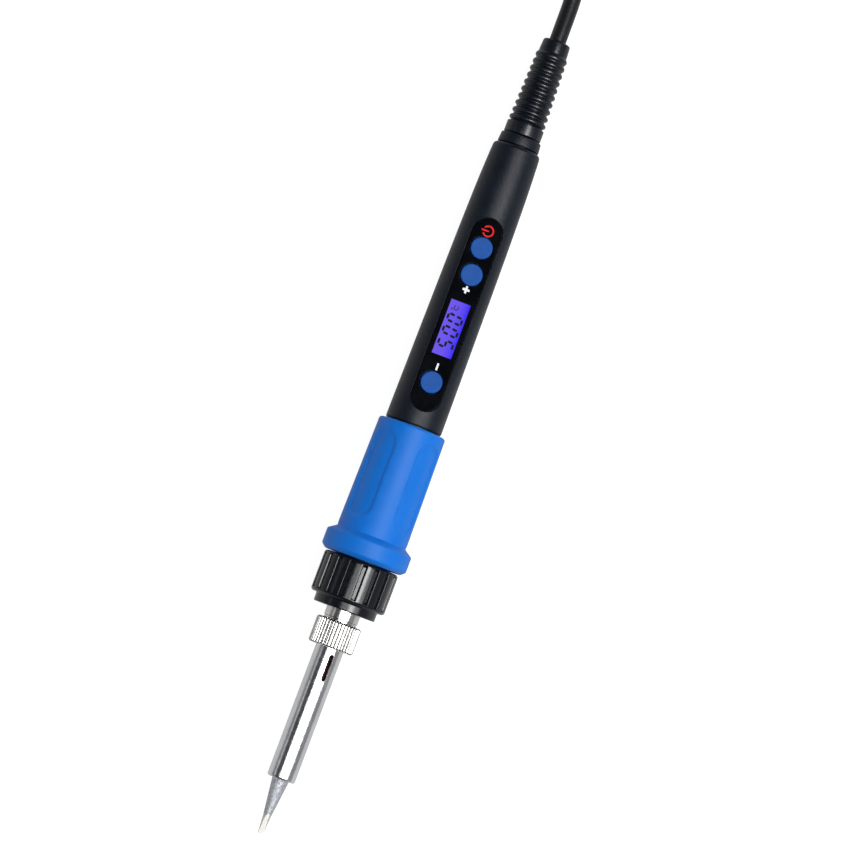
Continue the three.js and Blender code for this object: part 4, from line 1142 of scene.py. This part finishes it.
TIE_Y, TIE_WIDTH, TIE_THICKNESS = 226, 6, 1.0
TIE_INSIDE, TIE_OUTSIDE = 10.9, 11.9
TIE_TOP, TIE_TAIL_TOP = 10.3, 15.6
TIE_MIDDLE_X, TIE_MIDDLE_Z, TIE_BEVEL = -0.3, 7.5, 0.18
RIGHTWARDS, BACKWARDS, UPWARDS = (1, 0, 0), (0, 1, 0), (0, 0, 1)


def add_tie():
    """A strap round the waist of the hank that rises over the tail."""
    outside = [(-TIE_OUTSIDE, 0), (TIE_OUTSIDE, 0), (TIE_OUTSIDE, TIE_TOP + 1), (-2.8, TIE_TOP + 1),
               (-4.6, TIE_TAIL_TOP + 1), (-TIE_OUTSIDE, TIE_TAIL_TOP + 1)]
    inside = [(-TIE_INSIDE, TIE_THICKNESS), (-TIE_INSIDE, TIE_TAIL_TOP), (-5.2, TIE_TAIL_TOP), (-3.6, TIE_TOP),
              (TIE_INSIDE, TIE_TOP), (TIE_INSIDE, TIE_THICKNESS)]

    def moved(outline, by):
        return [(x - math.copysign(by, x - TIE_MIDDLE_X), z - math.copysign(by, z - TIE_MIDDLE_Z))
                for x, z in outline]

    upright = frame_of(RIGHTWARDS, UPWARDS, (0, -1, 0), (0, TIE_Y * MM, 0))
    loops = [rounded_loop(moved(outside, TIE_BEVEL), 1.8), rounded_loop(moved(inside, -TIE_BEVEL), 1.0)]
    strap = plate("tie", loops, -TIE_WIDTH / 2, TIE_WIDTH / 2, upright, TIE_BEVEL)
    return finish_piece(strap, woven_strap(), "handle", "tie_black", "cord_tie")


PLUG_X, PLUG_Z = 10.2, 17.85
PLUG_FRONT, PLUG_BACK = 219.0, 249.0
PLUG_HALF_HEIGHT = 6.0
PLUG_HALF_WIDTH, PLUG_NARROWING, PLUG_EDGE = 12, 3.5, 1.6
PLUG_RINGS, PLUG_SIDES, PLUG_SQUARENESS = 120, 96, 0.42  # 1 would be an ellipse
PLUG_GRIP_FRONT, PLUG_GRIP_BACK, PLUG_GRIP_PITCH, PLUG_GRIP_DEPTH = 232, 246, 2.0, 0.45
BLADE_SPACING, BLADE_THICKNESS, BLADE_WIDTH, BLADE_FRONT, BLADE_BEVEL = 12.7, 1.52, 6.35, 202.0, 0.12
BLADE_HOLE_FROM_END, BLADE_HOLE_RADIUS = 4.2, 1.55
PLUG_FRAME = frame_of(RIGHTWARDS, BACKWARDS, UPWARDS, (PLUG_X * MM, 0, PLUG_Z * MM))


def plug_ring(y, half_width, half_height):
    """A rounded box section across the plug."""
    ring = []
    for i in range(PLUG_SIDES):
        c, s = math.cos(TAU * i / PLUG_SIDES), math.sin(TAU * i / PLUG_SIDES)
        ring.append((half_width * math.copysign(abs(c) ** PLUG_SQUARENESS, c), y,
                     half_height * math.copysign(abs(s) ** PLUG_SQUARENESS, s)))
    return ring


RELIEF_FRONT, RELIEF_REAR, RELIEF_BORE = 248.5, 264, 2.55
RELIEF_FRONT_RADIUS, RELIEF_REAR_RADIUS = 4.2, 3.1


def add_plug():
    surface = look("plug moulding")
    rings = []
    for i in range(PLUG_RINGS + 1):
        y = PLUG_FRONT + (PLUG_BACK - PLUG_FRONT) * i / PLUG_RINGS
        width = PLUG_HALF_WIDTH - PLUG_NARROWING * smoothstep(y, PLUG_FRONT + 10, PLUG_BACK)
        from_end = min(y - PLUG_FRONT, PLUG_BACK - y)
        into_edge = PLUG_EDGE - min(from_end, PLUG_EDGE)
        edge = PLUG_EDGE - math.sqrt(max(0, PLUG_EDGE ** 2 - into_edge ** 2))
        grip = 0
        if PLUG_GRIP_FRONT < y < PLUG_GRIP_BACK:
            grip = 0.5 - 0.5 * math.cos(TAU * (y - PLUG_GRIP_FRONT) / PLUG_GRIP_PITCH)
        rings.append(plug_ring(y, width - edge - PLUG_GRIP_DEPTH * grip, PLUG_HALF_HEIGHT - edge))
    body = lofted("plug", rings, PLUG_FRAME, 50)
    finish_piece(body, surface, "handle", "plug_black", "plug_body")
    taper = RELIEF_FRONT_RADIUS - RELIEF_REAR_RADIUS
    ridges = []
    for i in range(50):
        ridge = 0.4 * (0.5 - 0.5 * math.cos(TAU * i / 9))
        ridges.append((RELIEF_FRONT + 2 + 0.25 * i, RELIEF_FRONT_RADIUS - taper * i / 54 - ridge, 0))
    outline = rounded([(258, RELIEF_BORE, 0), (RELIEF_FRONT, RELIEF_BORE, 0), (RELIEF_FRONT, RELIEF_FRONT_RADIUS, 0)]
                      + ridges + [(RELIEF_REAR, RELIEF_REAR_RADIUS, 0.4), (RELIEF_REAR, RELIEF_BORE, 0.1),
                                  (259, RELIEF_BORE, 0)], 4)
    relief = revolved("plug_relief", outline, 64, closed=True, matrix=PLUG_FRAME, smooth_angle=60)
    finish_piece(relief, surface, "handle", "plug_black")
    brass = look("bright brass")
    half = BLADE_WIDTH / 2 - BLADE_BEVEL
    front, rear = BLADE_FRONT + BLADE_BEVEL, PLUG_FRONT - BLADE_BEVEL
    outline = rounded([(rear, 0, 0), (rear, half, 0), (front + 1.5, half, 0.8), (front, half - 1.4, 0.8),
                       (front, -half + 1.4, 0.8), (front + 1.5, -half, 0.8), (rear, -half, 0)], 5)
    hole = circle(BLADE_FRONT + BLADE_HOLE_FROM_END, 0, BLADE_HOLE_RADIUS + BLADE_BEVEL, 32)
    blades = []
    for name, side in (("left", -1), ("right", 1)):
        middle = ((PLUG_X + side * BLADE_SPACING / 2) * MM, 0, PLUG_Z * MM)
        sideways = frame_of(BACKWARDS, UPWARDS, RIGHTWARDS, middle)
        blade = plate(f"blade_{name}", [outline, hole], -BLADE_THICKNESS / 2, BLADE_THICKNESS / 2, sideways,
                      BLADE_BEVEL)
        blades.append(finish_piece(blade, brass, "handle", "brass", f"plug_blade_{name}"))
    return [body, relief] + blades


# ---- Pieces inside the handle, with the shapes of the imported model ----


def dress(surface, *nodes):
    for name in nodes:
        node = frame["nodes"][name]
        if not node.material_slots:
            node.data.materials.append(surface.material)
        for material_slot in node.material_slots:
            material_slot.material = surface.material


def dress_inner_pieces():
    dress(look("unglazed ceramic"), "heater_flange", "fuse")
    dress(circuit_board(), "control_board")
    dress(look("nickel plate"), "board_screw_front", "board_screw_rear")
    dress(look("cord sheath"), "cord_end")
    black = satin_plastic("component moulding", (0.02, 0.02, 0.021), 0.5, 1500)
    dress(black, "power_switch", "plus_switch", "minus_switch", "triac", "controller_chip")
    for name, color, roughness, *nodes in (
        ("light guide", (0.8, 0.83, 0.93), 0.3, "lcd_backlight"),
        ("capacitor case", (0.6, 0.38, 0.03), 0.35, "dropper_capacitor"),
        ("capacitor sleeve", (0.01, 0.02, 0.09), 0.3, "smoothing_capacitor"),
        ("red insulation", (0.45, 0.01, 0.01), 0.45, "heater_wire_1", "heater_wire_2"),
        ("white insulation", (0.8, 0.78, 0.72), 0.5, "sensor_wire_1", "sensor_wire_2"),
        ("brown insulation", (0.12, 0.04, 0.015), 0.45, "live_wire"),
        ("blue insulation", (0.02, 0.05, 0.4), 0.45, "neutral_wire"),
    ):
        dress(satin_plastic(name, color, roughness), *nodes)


# ---- Floor and light ----

LIGHT_HEIGHT = 0.7
FLOOR_REACH = 3000
FLOOR_GLOW = 0.95
FLOOR_GLOW_IN_REFLECTIONS = 0.36  # a studio floor is only bright where it is lit for the picture
# The world's brightness, from the tool's left to its right.
SKY = [(0.0, 0.26), (0.04, 0.18), (0.1, 0.08), (0.45, 0.07), (0.62, 0.12), (0.8, 0.19), (0.94, 0.27), (1.0, 0.26)]
SKY_BLUE = 1.03


def add_floor():
    surface = look("pale floor")
    mirrored = surface.node("ShaderNodeLightPath").outputs["Is Glossy Ray"]
    surface.link(surface.spread(mirrored, FLOOR_GLOW, FLOOR_GLOW_IN_REFLECTIONS, 0, 1),
                 surface.shader.inputs["Emission Strength"])
    corners = [(x * FLOOR_REACH, y * FLOOR_REACH, 0) for x, y in ((-1, -1), (1, -1), (1, 1), (-1, 1))]
    floor = add_object("floor", corners, [[0, 1, 2, 3]], Matrix.Scale(MM, 4))
    floor.data.materials.append(surface.material)


def add_softbox(name, from_angle, to_angle, height, length, middle_y, radiance):
    """A soft light over the tool that spans the angles from straight up towards +X."""
    low, high = height * math.tan(math.radians(from_angle)), height * math.tan(math.radians(to_angle))
    light = bpy.data.lights.new(name, "AREA")
    light.shape = "RECTANGLE"
    light.size, light.size_y = high - low, length
    light.energy = math.pi * light.size * light.size_y * radiance
    softbox = bpy.data.objects.new(name, light)
    softbox.location = ((low + high) / 2, middle_y, height)
    bpy.context.scene.collection.objects.link(softbox)


def add_world():
    """Dim on the tool's left, lighter on its right, with a pale line along the left horizon."""
    world = bpy.data.worlds.new("studio")
    sky = NodeTree(world)
    direction = sky.node("ShaderNodeSeparateXYZ")
    sky.link(sky.node("ShaderNodeTexCoord").outputs["Generated"], direction.inputs["Vector"])
    across = sky.spread(direction.outputs["X"], 0, 1, -1, 1)
    glow = sky.ramp(across, [(position, (value, value, value * SKY_BLUE)) for position, value in SKY])
    sky.link(glow, sky.nodes["Background"].inputs["Color"])
    bpy.context.scene.world = world


# ---- Assembly ----

for add in (add_tip, add_heater, add_barrel, add_knurled_nut, add_neck, add_ribbed_nut, add_grip, add_shells,
            add_collar, add_boot, add_panel, add_marks, add_buttons, dress_inner_pieces):
    add()

cord, cord_path = add_cord(look("cord sheath"))
plug_pieces = add_plug()
tie = add_tie()

add_floor()
add_softbox("key", 10, 26, LIGHT_HEIGHT, 0.5, 0.1, 13.0)
add_softbox("front", -18, 46, LIGHT_HEIGHT + 0.05, 0.2, -0.05, 4.0)
add_softbox("left", -66, -60, LIGHT_HEIGHT, 0.8, 0, 0.7)
add_world()
bpy.context.scene.view_settings.view_transform = "Standard"
